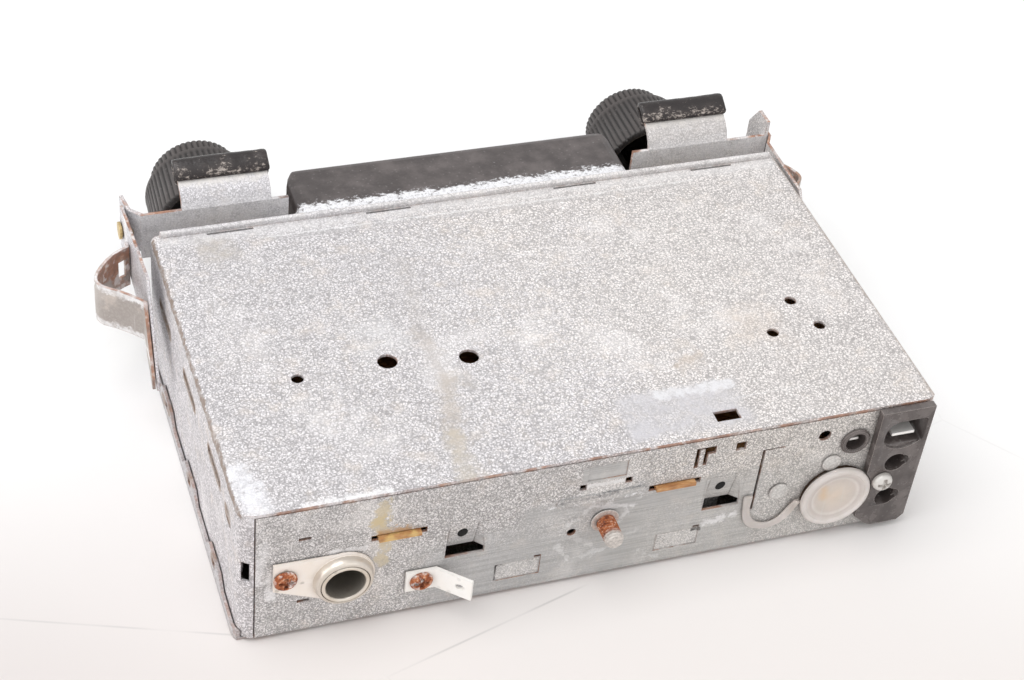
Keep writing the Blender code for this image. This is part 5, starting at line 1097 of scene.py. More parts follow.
def on_rear(*rows: Row) -> list[Stain]:
    """Stains and painted shadows on the rear panel, by x and x, z and z, colour, amount, bare, soft
    and ragged.
    """
    return [Stain(colour, amount, bare, soft * MM, ragged * MM, (x * MM, at(0.012), low * MM),
                  (end * MM, at(-0.004), high * MM))
            for x, end, low, high, colour, amount, bare, soft, ragged in rows]


def runs(rear: bool, *rows: Row) -> list[Smear]:
    """Smears on the rear panel, or else on the top; some on the rear panel are painted shade.

    Args:
        rear: Whether they lie on the rear panel.
        *rows: Each one's start and end, as x and z on the rear panel and as x and depth on the
            top, and then its radius, colour, amount, bare, soft and ragged.

    Returns:
        The smears.
    """
    def place(x: float, other: float) -> Place:
        """The place of one end."""
        return (x * MM, REAR_Y, other * MM) if rear else (x * MM, at(other * MM), BODY_TOP)

    return [Smear(colour, amount, bare, soft * MM, ragged * MM, place(x, other), place(end, last),
                  radius * MM)
            for x, other, end, last, radius, colour, amount, bare, soft, ragged in rows]


def side_slot(depth: float, z: float, length: float = 0.0138) -> tuple[Smear, Smear]:
    """The brown rim of a slot in the case's side, and a dark line along its upper edge that paints
    the shade in its opening.
    """
    reach = length / 2 - 0.0016
    rear, front = at(depth - reach), at(depth + reach)
    upper = z + 0.0010
    return (Smear((0.34, 0.255, 0.20), 0.95, 0.0, 0.0006, 0.0012, (SIDE_X, front, z),
                  (SIDE_X, rear, z), 0.0024),
            # Painted shade in the slot's opening.
            Smear((0.06, 0.045, 0.035), 0.7, 0.0, 0.0005, 0.0010, (SIDE_X, front, upper),
                  (SIDE_X, rear, upper), 0.0005))


WHITE_CRUST: Colour = (0.93, 0.92, 0.93)
GLUE: Colour = (0.66, 0.54, 0.32)
# Painted shadow at the edges of the pressed insets.
INSET_SHADOW: Colour = (0.015, 0.014, 0.014)
STREAK_BROWN: Colour = (0.50, 0.445, 0.405)
# Painted shadow along the insets' top edges, in a rusty brown.
RUSTY_INSET_SHADOW: Colour = (0.20, 0.16, 0.13)
TAB_PALE: Colour = (0.78, 0.76, 0.74)
RUB_GREY: Colour = (0.84, 0.84, 0.84)
RUB_DULL: Colour = (0.80, 0.79, 0.78)
RUB_PALE: Colour = (0.86, 0.86, 0.86)

ZINC_TOP = SheetMetal(
    "zinc_case", light=(1.0, 0.965, 0.955), dark=(0.39, 0.372, 0.37), crystal=1700.0, rust=0.5,
    marks=(
        *on_top((-40, -8, 3, 18, (0.70, 0.685, 0.73), 0.55, 0.6, 3, 10),
                (-40, -18, 15, 18.5, (0.90, 0.90, 0.93), 0.60, 0.3, 1, 6)),
        *runs(False, (28.9, 80, 31.2, 51, 1.6, STREAK_BROWN, 0.25, 0.15, 4, 6),
              (31.2, 51, 30.5, 33.8, 1.6, STREAK_BROWN, 0.38, 0.3, 3, 5),
              (30.5, 33.8, 34.3, 14.9, 2.2, (0.56, 0.48, 0.40), 0.45, 0.35, 3, 5),
              (34.3, 14.9, 35.2, 1, 2.2, (0.62, 0.54, 0.42), 0.50, 0.35, 3, 4),
              (27, 34.5, 24.5, 30, 1.2, (0.42, 0.37, 0.33), 0.35, 0.4, 2, 3)),
        *on_top((36, 48, 46, 60, WHITE_CRUST, 0.45, 0.2, 6, 16),
                (20, 90, 0, 100, (0.40, 0.385, 0.375), 0.16, 0, 30, 40),
                (-70, 20, 20, 90, (0.95, 0.92, 0.90), 0.14, 0, 30, 40),
                (70, 80, 90, 100, (0.55, 0.495, 0.43), 0.60, 0.4, 4, 12),
                (-62, -48, 30, 42, (0.74, 0.62, 0.52), 0.40, 0, 6, 20)),
        *runs(False, (-35, 29, -28, 26, 1, (0.55, 0.46, 0.38), 0.55, 0, 2, 4),
              (85, 3, 87.2, 14, 3, (0.93, 0.93, 0.97), 0.75, 0.3, 3, 5),
              (54, 0.8, 74, 0.8, 0.8, WHITE_CRUST, 0.85, 0.2, 1, 3)),
        # Across the front of the top: a pale thin line and a dark thin line that paint the
        # highlight and the shade of a crease, and a paler band along the front edge.
        *on_top((-62, 62, 96.8, 97.5, (0.98, 0.97, 0.97), 0.50, 0.3, 0.6, 2.2),
                (-88, 88, 98.5, 104.5, (0.90, 0.885, 0.885), 0.45, 0.2, 2, 6),
                (-60, 60, 95.5, 96.5, (0.50, 0.48, 0.48), 0.35, 0.2, 0.6, 1)),
        Stain((0.25, 0.185, 0.145), 0.90, 0.2, 0.0003, 0.0024, (0.0893, at(0.1030), 0.0419),
              (0.0904, at(0.0), 0.0436)),
        Stain((0.36, 0.27, 0.20), 0.60, 0.2, 0.0008, 0.0030, (-0.0905, at(0.1030), 0.0425),
              (-0.0886, at(0.0), 0.0439)),
        *side_slot(0.0851, 0.0309), *side_slot(0.0551, 0.0330), *side_slot(0.0264, 0.0346),
        *side_slot(0.0120, 0.0330, 0.0050)))
ZINC_PANEL = SheetMetal(
    "zinc_panel", light=(0.99, 0.955, 0.925), dark=(0.33, 0.318, 0.305),
    smooth=(0.54, 0.534, 0.516), crystal=2100.0, rust=0.25, scratch=0.12, warm=0.25, brush=0.28,
    grime_and_shade=0.25, marks=(
        *on_rear((-10, 45, -10, 21.5, (0.50, 0.505, 0.505), 0.25, 0.80, 8, 14),
                 (-87, -2, -10, 29, (0.49, 0.49, 0.485), 0.25, 0.75, 6, 14),
                 (-30, 20, 23.5, 28.5, (0.49, 0.49, 0.49), 0.25, 0.75, 4, 10),
                 (-76, -44, -2, 34, (0.60, 0.58, 0.57), 0, -0.80, 3, 8),
                 (-29, -17.2, 5.4, 11, TAB_PALE, 0.35, -1, 0.3, 0.4),
                 (14.2, 25.8, 5.4, 11, TAB_PALE, 0.35, -1, 0.3, 0.4),
                 (-6, 5.8, 34.8, 40, (0.48, 0.48, 0.475), 0.45, 0.85, 0.6, 1),
                 (-5.5, 5.5, 33.2, 34.3, (0.90, 0.89, 0.89), 0.75, 0.5, 0.4, 1.2),
                 # Dark lines along the top and the +x edge of each pressed inset: painted shadow,
                 # the brown ones with rust.
                 (25.3, 25.9, 5.4, 10.8, INSET_SHADOW, 0.95, 0, 0.2, 0.3),
                 (23.6, 25.9, 10.4, 11, INSET_SHADOW, 0.90, 0, 0.3, 0.5),
                 (14.2, 25.6, 10.8, 11.1, RUSTY_INSET_SHADOW, 0.80, 0, 0.2, 0.3),
                 (-29.4, -26.8, 9.8, 11.1, INSET_SHADOW, 0.92, 0, 0.3, 0.5),
                 (-29, -17.2, 10.8, 11.1, RUSTY_INSET_SHADOW, 0.80, 0, 0.2, 0.3),
                 (-17.5, -17.2, 5.4, 11, (0.22, 0.17, 0.14), 0.70, 0, 0.2, 0.3)),
        # Dark lines along the pressed ridge above the stud: painted shade on its upper side.
        *runs(True, (10.6, 29.7, -4, 30.2, 0.6, (0.15, 0.15, 0.155), 0.85, 0.7, 0.6, 1),
              (-4, 30.2, -10, 30.5, 0.3, (0.20, 0.20, 0.205), 0.75, 0.5, 0.6, 1),
              (-11.2, 28.3, 13, 28, 0.3, (0.93, 0.93, 0.95), 0.85, 0, 0.5, 3),
              (-10, 26.2, -5.8, 19, 0.5, RUB_GREY, 0.50, 0, 0.8, 4),
              (3, 25, 8.5, 20.5, 0.5, RUB_GREY, 0.45, 0, 0.8, 4),
              (-9, 24, 2, 26.2, 0.7, WHITE_CRUST, 0.55, 0, 0.8, 3),
              (-13, 15, -6, 13, 0.6, RUB_DULL, 0.40, 0, 1, 3),
              (-6, 10, 6, 8, 0.3, RUB_PALE, 0.40, 0, 0.8, 5),
              (10, 14, 6, 8, 0.3, RUB_PALE, 0.40, 0, 0.8, 5),
              (-12, 6, -18, 3, 0.3, RUB_PALE, 0.40, 0, 0.8, 5),
              (6, 17, 1, 12, 0.6, RUB_DULL, 0.40, 0, 1, 3),
              (-38, 13.5, -30, 12, 0.8, WHITE_CRUST, 0.65, 0, 0.8, 3),
              (55.3, 40.5, 56.2, 34.5, 1.2, GLUE, 0.60, 0.5, 0.8, 4),
              (56.2, 34.5, 55.5, 30.5, 1.8, GLUE, 0.75, 0.6, 0.8, 4),
              (55.5, 30, 50, 30.3, 1, (0.55, 0.33, 0.15), 0.85, 0.8, 0.8, 3),
              (54.9, 26.5, 55.4, 19, 1.2, GLUE, 0.60, 0.6, 0.8, 4),
              (82.2, 15, 82.6, 22, 1.3, WHITE_CRUST, 0.70, 0, 0.8, 3),
              (60, 26.2, 67.2, 26.8, 0.9, WHITE_CRUST, 0.90, 0, 0.5, 2),
              (84, 33, 86, 20, 1, WHITE_CRUST, 0.45, 0, 1, 3))))
ZINC_PAN = SheetMetal(
    "zinc_pan", light=(0.86, 0.83, 0.82), dark=(0.40, 0.385, 0.375), rust=0.5, crystal=1700.0,
    bloom=0.7, cut=0.5, marks=tuple(
        Smear((0.30, 0.215, 0.165), 0.90, 0.0, 0.0005, 0.0014, (0.0910, at(depth + 0.0010), z),
              (0.0910, at(depth - 0.0010), z + 0.0010), 0.0017)
        for depth, z in ((0.0846, 0.0026), (0.0780, 0.0046), (0.0522, 0.0042), (0.0238, 0.0044))))
ZINC_RIVET = SheetMetal("zinc_rivet", light=(0.86, 0.85, 0.83), dark=(0.46, 0.45, 0.44),
                        smooth=(0.62, 0.61, 0.59), rust=0.1, crystal=1500.0, bloom=0.6, cut=0.0,
                        grime_and_shade=0.2)
ZINC_BRACKET = SheetMetal(
    "zinc_bracket", light=(0.98, 0.955, 0.955), dark=(0.50, 0.485, 0.485),
    smooth=(0.70, 0.69, 0.68), crystal=1900.0, rust=0.8, warm=0.22, cut=0.95, grime_and_shade=0.18, marks=(
        # Painted highlight along the top of the bend under the rubber.
        Stain((0.95, 0.91, 0.86), 0.75, 0.5, 0.0010, 0.0030, (-0.085, at(0.1215), 0.0478),
              (0.085, at(0.1160), 0.0492)),
        # Painted light that brightens the wall facing the rear.
        Stain((0.99, 0.975, 0.985), 0.60, 0.0, 0.0030, 0.0030, (-0.110, at(0.1160), 0.0200),
              (0.110, at(0.1120), 0.0436)),
        Stain((0.36, 0.33, 0.315), 0.30, 0.0, 0.0040, 0.0060, (-0.086, at(0.1300), 0.0440),
              (-0.040, at(0.1100), 0.0500))))
ZINC_SPRING = SheetMetal(
    "zinc_spring", light=(0.70, 0.65, 0.61), dark=(0.36, 0.32, 0.29), smooth=(0.45, 0.40, 0.355),
    crystal=1300.0, rust=0.9, warm=0.5, bloom=0.22, inner=0.9, marks=tuple(
        Stain(WHITE_CRUST, amount, 0.0, 0.0010, 0.0060, (0.094, at(0.115), low),
              (0.106, at(0.070), high))
        for amount, low, high in ((0.85, 0.0362, 0.0385), (0.75, 0.0240, 0.0262))))
ZINC_INSIDE = SheetMetal("zinc_inside", light=(0.60, 0.59, 0.58), dark=(0.28, 0.27, 0.27),
                         smooth=(0.42, 0.41, 0.41), rust=0.4, crystal=1200.0, cut=0.0)
CREAM_TIN = PlatedMetal("cream_tin", (0.99, 0.925, 0.865), (0.94, 0.83, 0.71), 0.42, 0.06, 0.5,
                        (0.97, 0.95, 0.92), reach=0.0018, grime_and_shade=0.5,
                        grime_and_shade_colour=(0.36, 0.24, 0.15))
LUG_TIN = PlatedMetal("lug_tin", (1.0, 0.985, 0.955), (0.99, 0.94, 0.87), 0.40, 0.02, 0.2,
                      reach=0.0015, grime_and_shade=0.4, grime_and_shade_colour=(0.40, 0.28, 0.18))
COLLAR_TIN = PlatedMetal("collar_tin", (0.72, 0.66, 0.59), (0.60, 0.54, 0.47), 0.30, 0.60, 0.15,
                         (0.95, 0.92, 0.86), reach=0.0015, grime_and_shade=0.35,
                         grime_and_shade_colour=(0.36, 0.26, 0.17))
# The long occlusion reach darkens the inside of the tube: painted shade.
TUBE_TIN = PlatedMetal("tube_tin", (0.78, 0.72, 0.64), (0.56, 0.46, 0.34), 0.30, 0.55, 0.3,
                       reach=0.016, grime_and_shade=0.85, grime_and_shade_colour=(0.15, 0.135, 0.12))
PALE_TIN = PlatedMetal("pale_tin", (0.70, 0.68, 0.64), (0.50, 0.45, 0.38), 0.38, 0.55)
DULL_BRASS = PlatedMetal("dull_brass", (0.66, 0.50, 0.24), (0.36, 0.26, 0.13), 0.40, 0.6, 0.3,
                         (0.78, 0.64, 0.36))
PLAIN_STEEL = PlatedMetal("plain_steel", (0.62, 0.61, 0.59), (0.40, 0.37, 0.34), 0.34, 0.6)
BRIGHT_SCREW = PlatedMetal("bright_screw", (0.72, 0.70, 0.67), (0.50, 0.47, 0.44), 0.42, 0.35,
                           edge=0.1)
BRIGHT_BLADE = PlatedMetal("bright_blade", (0.95, 0.94, 0.92), (0.72, 0.70, 0.66), 0.30, 0.4)
SCREW_RUST = RustySteel("screw_rust", (0.88, 0.83, 0.81), 0.50, 0.0)
STUD_RUST = RustySteel("stud_rust", (0.66, 0.61, 0.57), 0.62, 0.1, (at(-0.0048), at(-0.0068)),
                       (at(-0.0009), at(-0.0006)))
KNOB_PLASTIC = MouldedPlastic("knob_plastic", (0.009, 0.007, 0.007), (0.042, 0.032, 0.030), 0.5,
                              (0.100, 0.086, 0.082), 0.35, roughness=0.38, ribbed=True, specks=0.12)
NOSE_PLASTIC = MouldedPlastic("nose_plastic", (0.062, 0.051, 0.050), (0.160, 0.138, 0.134), 0.75,
                              (0.24, 0.225, 0.225), 0.35, chips=0.95, roughness=0.32, specks=0.10)
KEY_PLASTIC = MouldedPlastic("key_plastic", (0.035, 0.034, 0.035), roughness=0.35, specks=0.05,
                             dust=0.15)
BLOCK_PLASTIC = MouldedPlastic("block_plastic", (0.070, 0.057, 0.054), (0.230, 0.200, 0.190), 0.60,
                               (0.50, 0.44, 0.41), 0.80, roughness=0.20, specks=0.15)
# A black disc that paints the shade of a hole.
HOLE_SHADE = MouldedPlastic("hole_shade", (0.004, 0.004, 0.004), (0.010, 0.009, 0.009), 0.3,
                            (0.03, 0.028, 0.028), 0.1, roughness=0.9, specks=0.0)
BROWN_PLASTIC = MouldedPlastic("brown_plastic", (0.13, 0.075, 0.045), (0.22, 0.17, 0.13), 0.3,
                               (0.30, 0.22, 0.16), 0.4)
STRIP_RUBBER = OldRubber("strip_rubber")
BOARD_BROWN = LaminateBoard("board_brown")
CAP_MILKY = CapPolythene("cap_milky", 0.0097)
STRAP_MILKY = CapPolythene("strap_milky", 0.0160, 0.35)
LENS_CLEAR = ClearPlastic("lens_clear")
DIAL_BLACK = PrintedFace("dial_black", (0.025, 0.027, 0.026), (0.05, 0.055, 0.05))
DIAL_INK = PrintedFace("dial_ink", (0.78, 0.80, 0.70), (0.66, 0.68, 0.58))
POINTER_RED = PrintedFace("pointer_red", (0.60, 0.04, 0.025), (0.68, 0.10, 0.06))


@dataclass
class Case:
    """The cover, the rear panel and the pan that closes the case from below."""

    window_width: float = 0.0100
    window_top: float = 0.0284
    window_x: Span = (0.03427, -0.03355)
    floor_width: float = 0.0071
    floor_shift: float = 0.0007
    floor_gap: float = 0.0002
    margin: float = 0.0004
    skin: float = 0.00004
    drop: float = 0.0092
    lean: float = 0.0021
    peep_radius: float = 0.0013
    peep_drop: float = 0.0040
    peep_tall: float = 1.4

    def pocket(self, number: int, x: float) -> None:
        """The pressed louvre in a rear window, with a cheek at each side.

        At x across and share v down, the depth is lean * v * q, where q falls from 1 at the floor's
        edge to 0 at the louvre's edge, and that edge spreads from the floor's edge to the window's.

        Args:
            number: Which window it is.
            x: The window's middle.
        """
        half = self.window_width / 2
        across = np.linspace(-half - self.margin, half + self.margin, 73)[None, :]
        down = np.concatenate([[-self.margin / self.drop], np.linspace(0, 1, 25)])[:, None]
        side = np.where(across > self.floor_shift, 1.0, -1.0)
        floor = side * self.floor_shift + self.floor_width / 2
        edge = floor + self.floor_gap + (half - floor - self.floor_gap) * np.clip(down, 0, 1) ** 0.7
        share = np.clip((edge - side * across) / (edge - floor), 0, 1)
        depth = self.lean * np.clip(down, 0, 1) * share - self.skin
        height = np.broadcast_to(self.window_top - self.drop * down, depth.shape)
        front = np.stack([np.broadcast_to(x + across, depth.shape), at(0) - depth, height], -1)
        back = front - np.array((0.0, self.skin * 0.8, 0.0))
        rows, columns = depth.shape
        count = rows * columns
        faces = grid_faces(rows, columns)
        inner = (np.array(faces)[:, ::-1] + count).tolist()
        rim = np.concatenate([
            np.arange(columns), np.arange(1, rows) * columns + columns - 1,
            count - 2 - np.arange(columns - 1), np.arange(rows - 2, 0, -1) * columns])
        after = np.roll(rim, -1)
        wall = np.stack([rim, after, after + count, rim + count], -1).tolist()
        made = finish_mesh(f"window_pocket_{number}", np.concatenate([front, back]),
                           faces + inner + wall, 20.0)
        hand_over(made, ZINC_PANEL, Body.CASE, "zinc_plate")

    def peep(self, number: int, x: float) -> None:
        """A thin turned black disc in the floor of a louvre, made taller and leant: painted shade
        where the hole is.

        Args:
            number: Which window it is in.
            x: The window's middle.
        """
        face, rear = -0.00002, -0.00010
        profile = [(0, face), (self.peep_radius, face), (self.peep_radius, rear - face),
                   (self.peep_radius * 0.9, rear), (0, rear)]
        middle = self.window_top - self.peep_drop
        hole = turned_surface(f"window_peep_{number}", profile, x + self.floor_shift, middle, 48)
        points = column(hole.data.vertices, "co", float, 3)
        points[:, 2] = middle + (points[:, 2] - middle) * self.peep_tall
        points[:, 1] -= self.lean * (self.window_top - points[:, 2]) / self.drop
        hole.data.vertices.foreach_set("co", points.ravel())
        hand_over(hole, HOLE_SHADE, Body.CASE, "black_paint")

    def build(self) -> None:
        """Softens the three sheets, fills the windows and dresses what is inside."""
        for number, x in enumerate(self.window_x, 1):
            self.pocket(number, x)
            self.peep(number, x)
        low = (-FAR, -FAR, -FAR)
        softened_copy("case_shell", ZINC_TOP, clean=(
            (low, (FAR, FAR, 0.0405)), (low, (FAR, at(0.0950), FAR))))
        ridge = ((-0.0140, at(0.0020), 0.0275), (0.0140, at(-0.0020), 0.0315))
        softened_copy("rear_panel", ZINC_PANEL, clean=(ridge,))
        softened_copy("bottom_cover", ZINC_PAN)
        dress_nodes(ZINC_INSIDE, "front_chassis", "tuner_unit", "core_carriage", "output_stage")
        dress_nodes(BOARD_BROWN, "circuit_board")


@dataclass
class KnobPair:
    """The ribbed outer ring and the front knob on one shaft."""

    side: int
    ring_node: str
    knob_node: str
    ring_body: Body
    knob_body: Body
    ring_rear: float = 0.1330
    ring_length: float = 0.0180
    rear_radius: float = 0.0166
    front_radius: float = 0.0156
    wall: float = 0.0020
    hub_radius: float = 0.0056
    sleeve_bore: float = 0.0034
    shaft_bore: float = 0.0025
    ring_ribs: int = 60
    gap: float = 0.0005
    knob_radius: float = 0.0129
    knob_length: float = 0.0067
    knob_rim: float = 0.0020
    knob_dish: float = 0.0008
    knob_bore: float = 0.0022
    bore_depth: float = 0.0042
    knob_ribs: int = 48
    rib: float = 0.00045

    def ribs(self, count: int, ribbed: tuple[int, int]) -> Relief:
        """Round-topped ribs: the radius falls by 0.9 rib (1 - |cos(n a / 2)|^0.7).

        Args:
            count: Ribs in a full turn.
            ribbed: First and last ribbed profile point.

        Returns:
            The relief for turned_surface.
        """
        def relief(angle: np.ndarray, number: np.ndarray) -> np.ndarray:
            """The change of radius at each angle and profile point."""
            inside = (number >= ribbed[0]) & (number <= ribbed[1])
            groove = 1 - np.abs(np.cos(count * angle / 2)) ** 0.7
            return -0.9 * self.rib * groove * inside
        return relief

    def ribbed(self, node: str, body: Body, profile: Profile, count: int, ribbed: tuple[int, int],
               top: Callable[[np.ndarray], np.ndarray]) -> None:
        """Turns a ribbed piece, and keeps on each point how near it is to a rib's top.

        Args:
            node: The node that it stands for.
            body: The body that it rides on.
            profile: Radius and depth of each point.
            count: Ribs in a full turn.
            ribbed: First and last ribbed profile point.
            top: The radius of a rib's top at each y.
        """
        x = self.side * SHAFT_X
        made = turned_surface(f"{node}_ribbed", profile, x, SHAFT_Z, count * 10,
                              self.ribs(count, ribbed), 50.0)
        points = column(made.data.vertices, "co", float, 3)
        radius = np.hypot(points[:, 0] - x, points[:, 2] - SHAFT_Z)
        share = np.clip(1 - (top(points[:, 1]) - radius) / (0.6 * self.rib), 0, 1)
        tag = made.data.attributes.new("rib", "FLOAT", "POINT")
        tag.data.foreach_set("value", share.astype(np.float32))
        hand_over(made, KNOB_PLASTIC, body, "black_plastic", node)

    def build(self) -> None:
        """Turns the ring and the knob."""
        rear, front = self.ring_rear, self.ring_rear + self.ring_length
        large, small, inside = self.rear_radius, self.front_radius, front - self.wall
        outer = [(large - 0.0009, rear), (large - 0.0002, rear + 0.0003)]
        outer += [(large + (small - large) * s, rear + 0.0008 + (self.ring_length - 0.0028) * s)
                  for s in np.linspace(0, 1, 5)]
        outer += [(small, front - 0.0009), (small, front - 0.0004),
                  (small - 0.0004, front - 0.0001), (small - 0.0011, front)]
        inner = [(self.shaft_bore, front), (self.shaft_bore, inside),
                 (self.sleeve_bore, inside - 0.0001), (self.sleeve_bore, rear + self.wall),
                 (self.hub_radius, rear + self.wall), (self.hub_radius, inside),
                 (small - self.wall, inside), (large - self.wall, rear)]
        low, run = at(front), at(rear) - at(front)
        self.ribbed(self.ring_node, self.ring_body, outer + inner, self.ring_ribs,
                    (1, len(outer) - 5), lambda y: small + (large - small) * (y - low) / run)
        back, face = front + self.gap, front + self.gap + self.knob_length
        radius, rim, dish = self.knob_radius, self.knob_radius - self.knob_rim, self.knob_dish
        profile = [(0, back + self.bore_depth), (self.knob_bore, back + self.bore_depth),
                   (self.knob_bore, back), (radius - 0.0010, back),
                   (radius - 0.0002, back + 0.0004), (radius, back + 0.0010),
                   (radius, (back + face) / 2), (radius, face - 0.0010),
                   (radius - 0.0002, face - 0.0004), (radius - 0.0009, face), (rim, face),
                   (rim - 0.0004, face - 0.0002), (rim - dish, face - dish), (0, face - dish)]
        self.ribbed(self.knob_node, self.knob_body, profile, self.knob_ribs, (4, 8),
                    lambda y: np.full_like(y, radius))


@dataclass
class Bracket:
    """One mounting bracket with its rubber, side arm, leaf spring and rivet."""

    side: int
    label: str
    depth: float = 0.1140
    top: float = 0.0426
    sheet: float = 0.0010
    width: float = 0.0256
    thick: float = 0.0040
    reach: float = 0.0040
    skirt: float = 0.0007
    lip: float = 0.0005
    bend: Span = (0.0055, 0.0063)
    slope: float = math.radians(31)
    slot_reach: float = 0.0049

    def rubber_section(self) -> np.ndarray:
        """The strip's section: a channel with a round end, over the tab's slanted end.

        The round end is an arc of half the thickness; along and aside are turned by the slope.

        Returns:
            Rows of y and z, round the section.
        """
        half, slot, lip, skirt = self.thick / 2, self.sheet / 2 + FIT_GAP, self.lip, -self.skirt
        angle = np.radians(np.linspace(90, -90, 15))
        end = np.stack([self.reach + half * np.cos(angle), half * np.sin(angle)], -1)
        section = np.concatenate([
            [(skirt, half - lip), (skirt + lip * 0.3, half - lip * 0.3), (skirt + lip, half)], end,
            [(skirt + lip, -half), (skirt + lip * 0.3, -half + lip * 0.3), (skirt, -half + lip),
             (skirt, -slot), (self.slot_reach, -slot), (self.slot_reach, slot), (skirt, slot)]])
        run = np.array((-math.cos(self.slope), math.sin(self.slope)))
        up = np.array((run[1], -run[0]))
        bend = np.array((at(self.depth + self.bend[0]), self.top + self.bend[1]))
        middle = bend - up * self.sheet / 2
        return middle + section[:, :1] * run + section[:, 1:] * up

    def rubber(self) -> bpy.types.Object:
        """Carries the section along x, drawn in at both ends and slightly wavy.

        A station at share s of the length is scaled about the section's middle by
        1 - 0.14 (1 - q), with q the quarter-circle of its distance from the nearer end.

        Returns:
            The strip.
        """
        section = self.rubber_section()
        middle = section.mean(0)
        half = self.width / 2
        along = np.concatenate([[-half, -half + 0.0001, -half + 0.0004],
                                np.linspace(-half + 0.0010, half - 0.0010, 36),
                                [half - 0.0004, half - 0.0001, half]])
        from_end = np.clip((half - np.abs(along)) / 0.0010, 0, 1)
        scale = 1 - 0.14 * (1 - np.sqrt(1 - (1 - from_end) ** 2))
        wave = 0.00008 * np.sin(along * 260 + self.side) + 0.00003 * np.sin(along * 1500)
        outside = np.ones(len(section))
        outside[-4:] = 0
        places = middle + (section - middle)[None] * scale[:, None, None]
        places = places + (wave[:, None] * outside)[..., None] * np.array((0.0, 1.0))
        x = np.broadcast_to((self.side * SHAFT_X + along)[:, None, None], (*places.shape[:2], 1))
        return lofted(f"rubber_strip_{self.label}_moulded", np.concatenate([x, places], -1), 45.0)

    def build(self) -> None:
        """Makes the rubber and softens the bent sheets."""
        hand_over(self.rubber(), STRIP_RUBBER, Body.CASE, "black_rubber",
                  f"rubber_strip_{self.label}")
        softened_copy(f"bracket_{self.label}", ZINC_BRACKET)
        softened_copy(f"side_arm_{self.label}", ZINC_BRACKET, clean=(
            ((-FAR, -FAR, -FAR), (FAR, FAR, 0.0400)),))
        softened_copy(f"side_spring_{self.label}", ZINC_SPRING)
        dress_nodes(DULL_BRASS, f"arm_rivet_{self.label}", f"shaft_bush_{self.label}")
        dress_nodes(PLAIN_STEEL, f"shaft_nut_{self.label}")


@dataclass
class ShaftLine:
    """The sleeves and shafts under the knobs."""

    def build(self) -> None:
        """Dresses the sleeves, shafts and the control behind them."""
        dress_nodes(DULL_BRASS, "tone_sleeve", "fader_sleeve")
        dress_nodes(PLAIN_STEEL, "volume_shaft", "tuning_shaft")
        dress_nodes(BROWN_PLASTIC, "volume_control")


@dataclass
class PanScrew:
    """A pan-head screw with a cross recess, at the place of its node."""

    node: str
    finish: Finish
    slot: str
    proud: float = 0.0017
    radius: float = 0.0029
    height: float = 0.0014
    shank: float = 0.0015
    length: float = 0.0060
    arm: float = 0.0017
    arm_width: float = 0.00045
    recess: float = 0.0008
    steps: int = 96

    def build(self) -> None:
        """Shapes the head as a height over a polar grid.

        The height at radius r is h (0.25 + 0.75 sqrt(1 - (r/R)^2.6)), less the recess where the
        point lies in either arm of the cross, with soft flanks; the shank is a turned run below.
        """
        low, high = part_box(self.node)
        x, z, seat = (low.x + high.x) / 2, (low.z + high.z) / 2, REAR_Y - (high.y - self.proud)
        angle = np.linspace(0, 2 * math.pi, self.steps, endpoint=False)[:, None]
        radius = self.radius * np.sin(np.linspace(0, math.pi / 2, 30))[None, :]
        crown = np.sqrt(np.clip(1 - (radius / self.radius) ** 2.6, 0, 1))
        across, up = radius * np.cos(angle), radius * np.sin(angle)

        def arm(first: np.ndarray, second: np.ndarray) -> np.ndarray:
            """One arm of the cross, 1 inside and 0 outside."""
            width = np.clip((self.arm_width - np.abs(first)) / 0.00016 + 0.5, 0, 1)
            return width * np.clip((self.arm - np.abs(second)) / 0.0003 + 0.5, 0, 1)

        depth = self.recess * np.maximum(arm(across, up), arm(up, across))
        y = at(seat) + self.height * (0.25 + 0.75 * crown) - depth
        under = np.array([(self.radius, seat), (self.shank, seat), (self.shank, seat + self.length),
                          (0.0, seat + self.length)])
        below, size = np.broadcast_to(at(0) - under[:, 1], (self.steps, len(under))), under[:, 0]
        ring = np.stack([x + size * np.cos(angle), below, z + size * np.sin(angle)], -1)
        points = np.concatenate([np.stack([x + across, y, z + up], -1), ring], 1)
        faces = grid_faces(self.steps, points.shape[1], wrap_rows=True)
        made = finish_mesh(f"{self.node}_head", points, faces, 50.0)
        hand_over(made, self.finish, Body.CASE, self.slot, self.node)


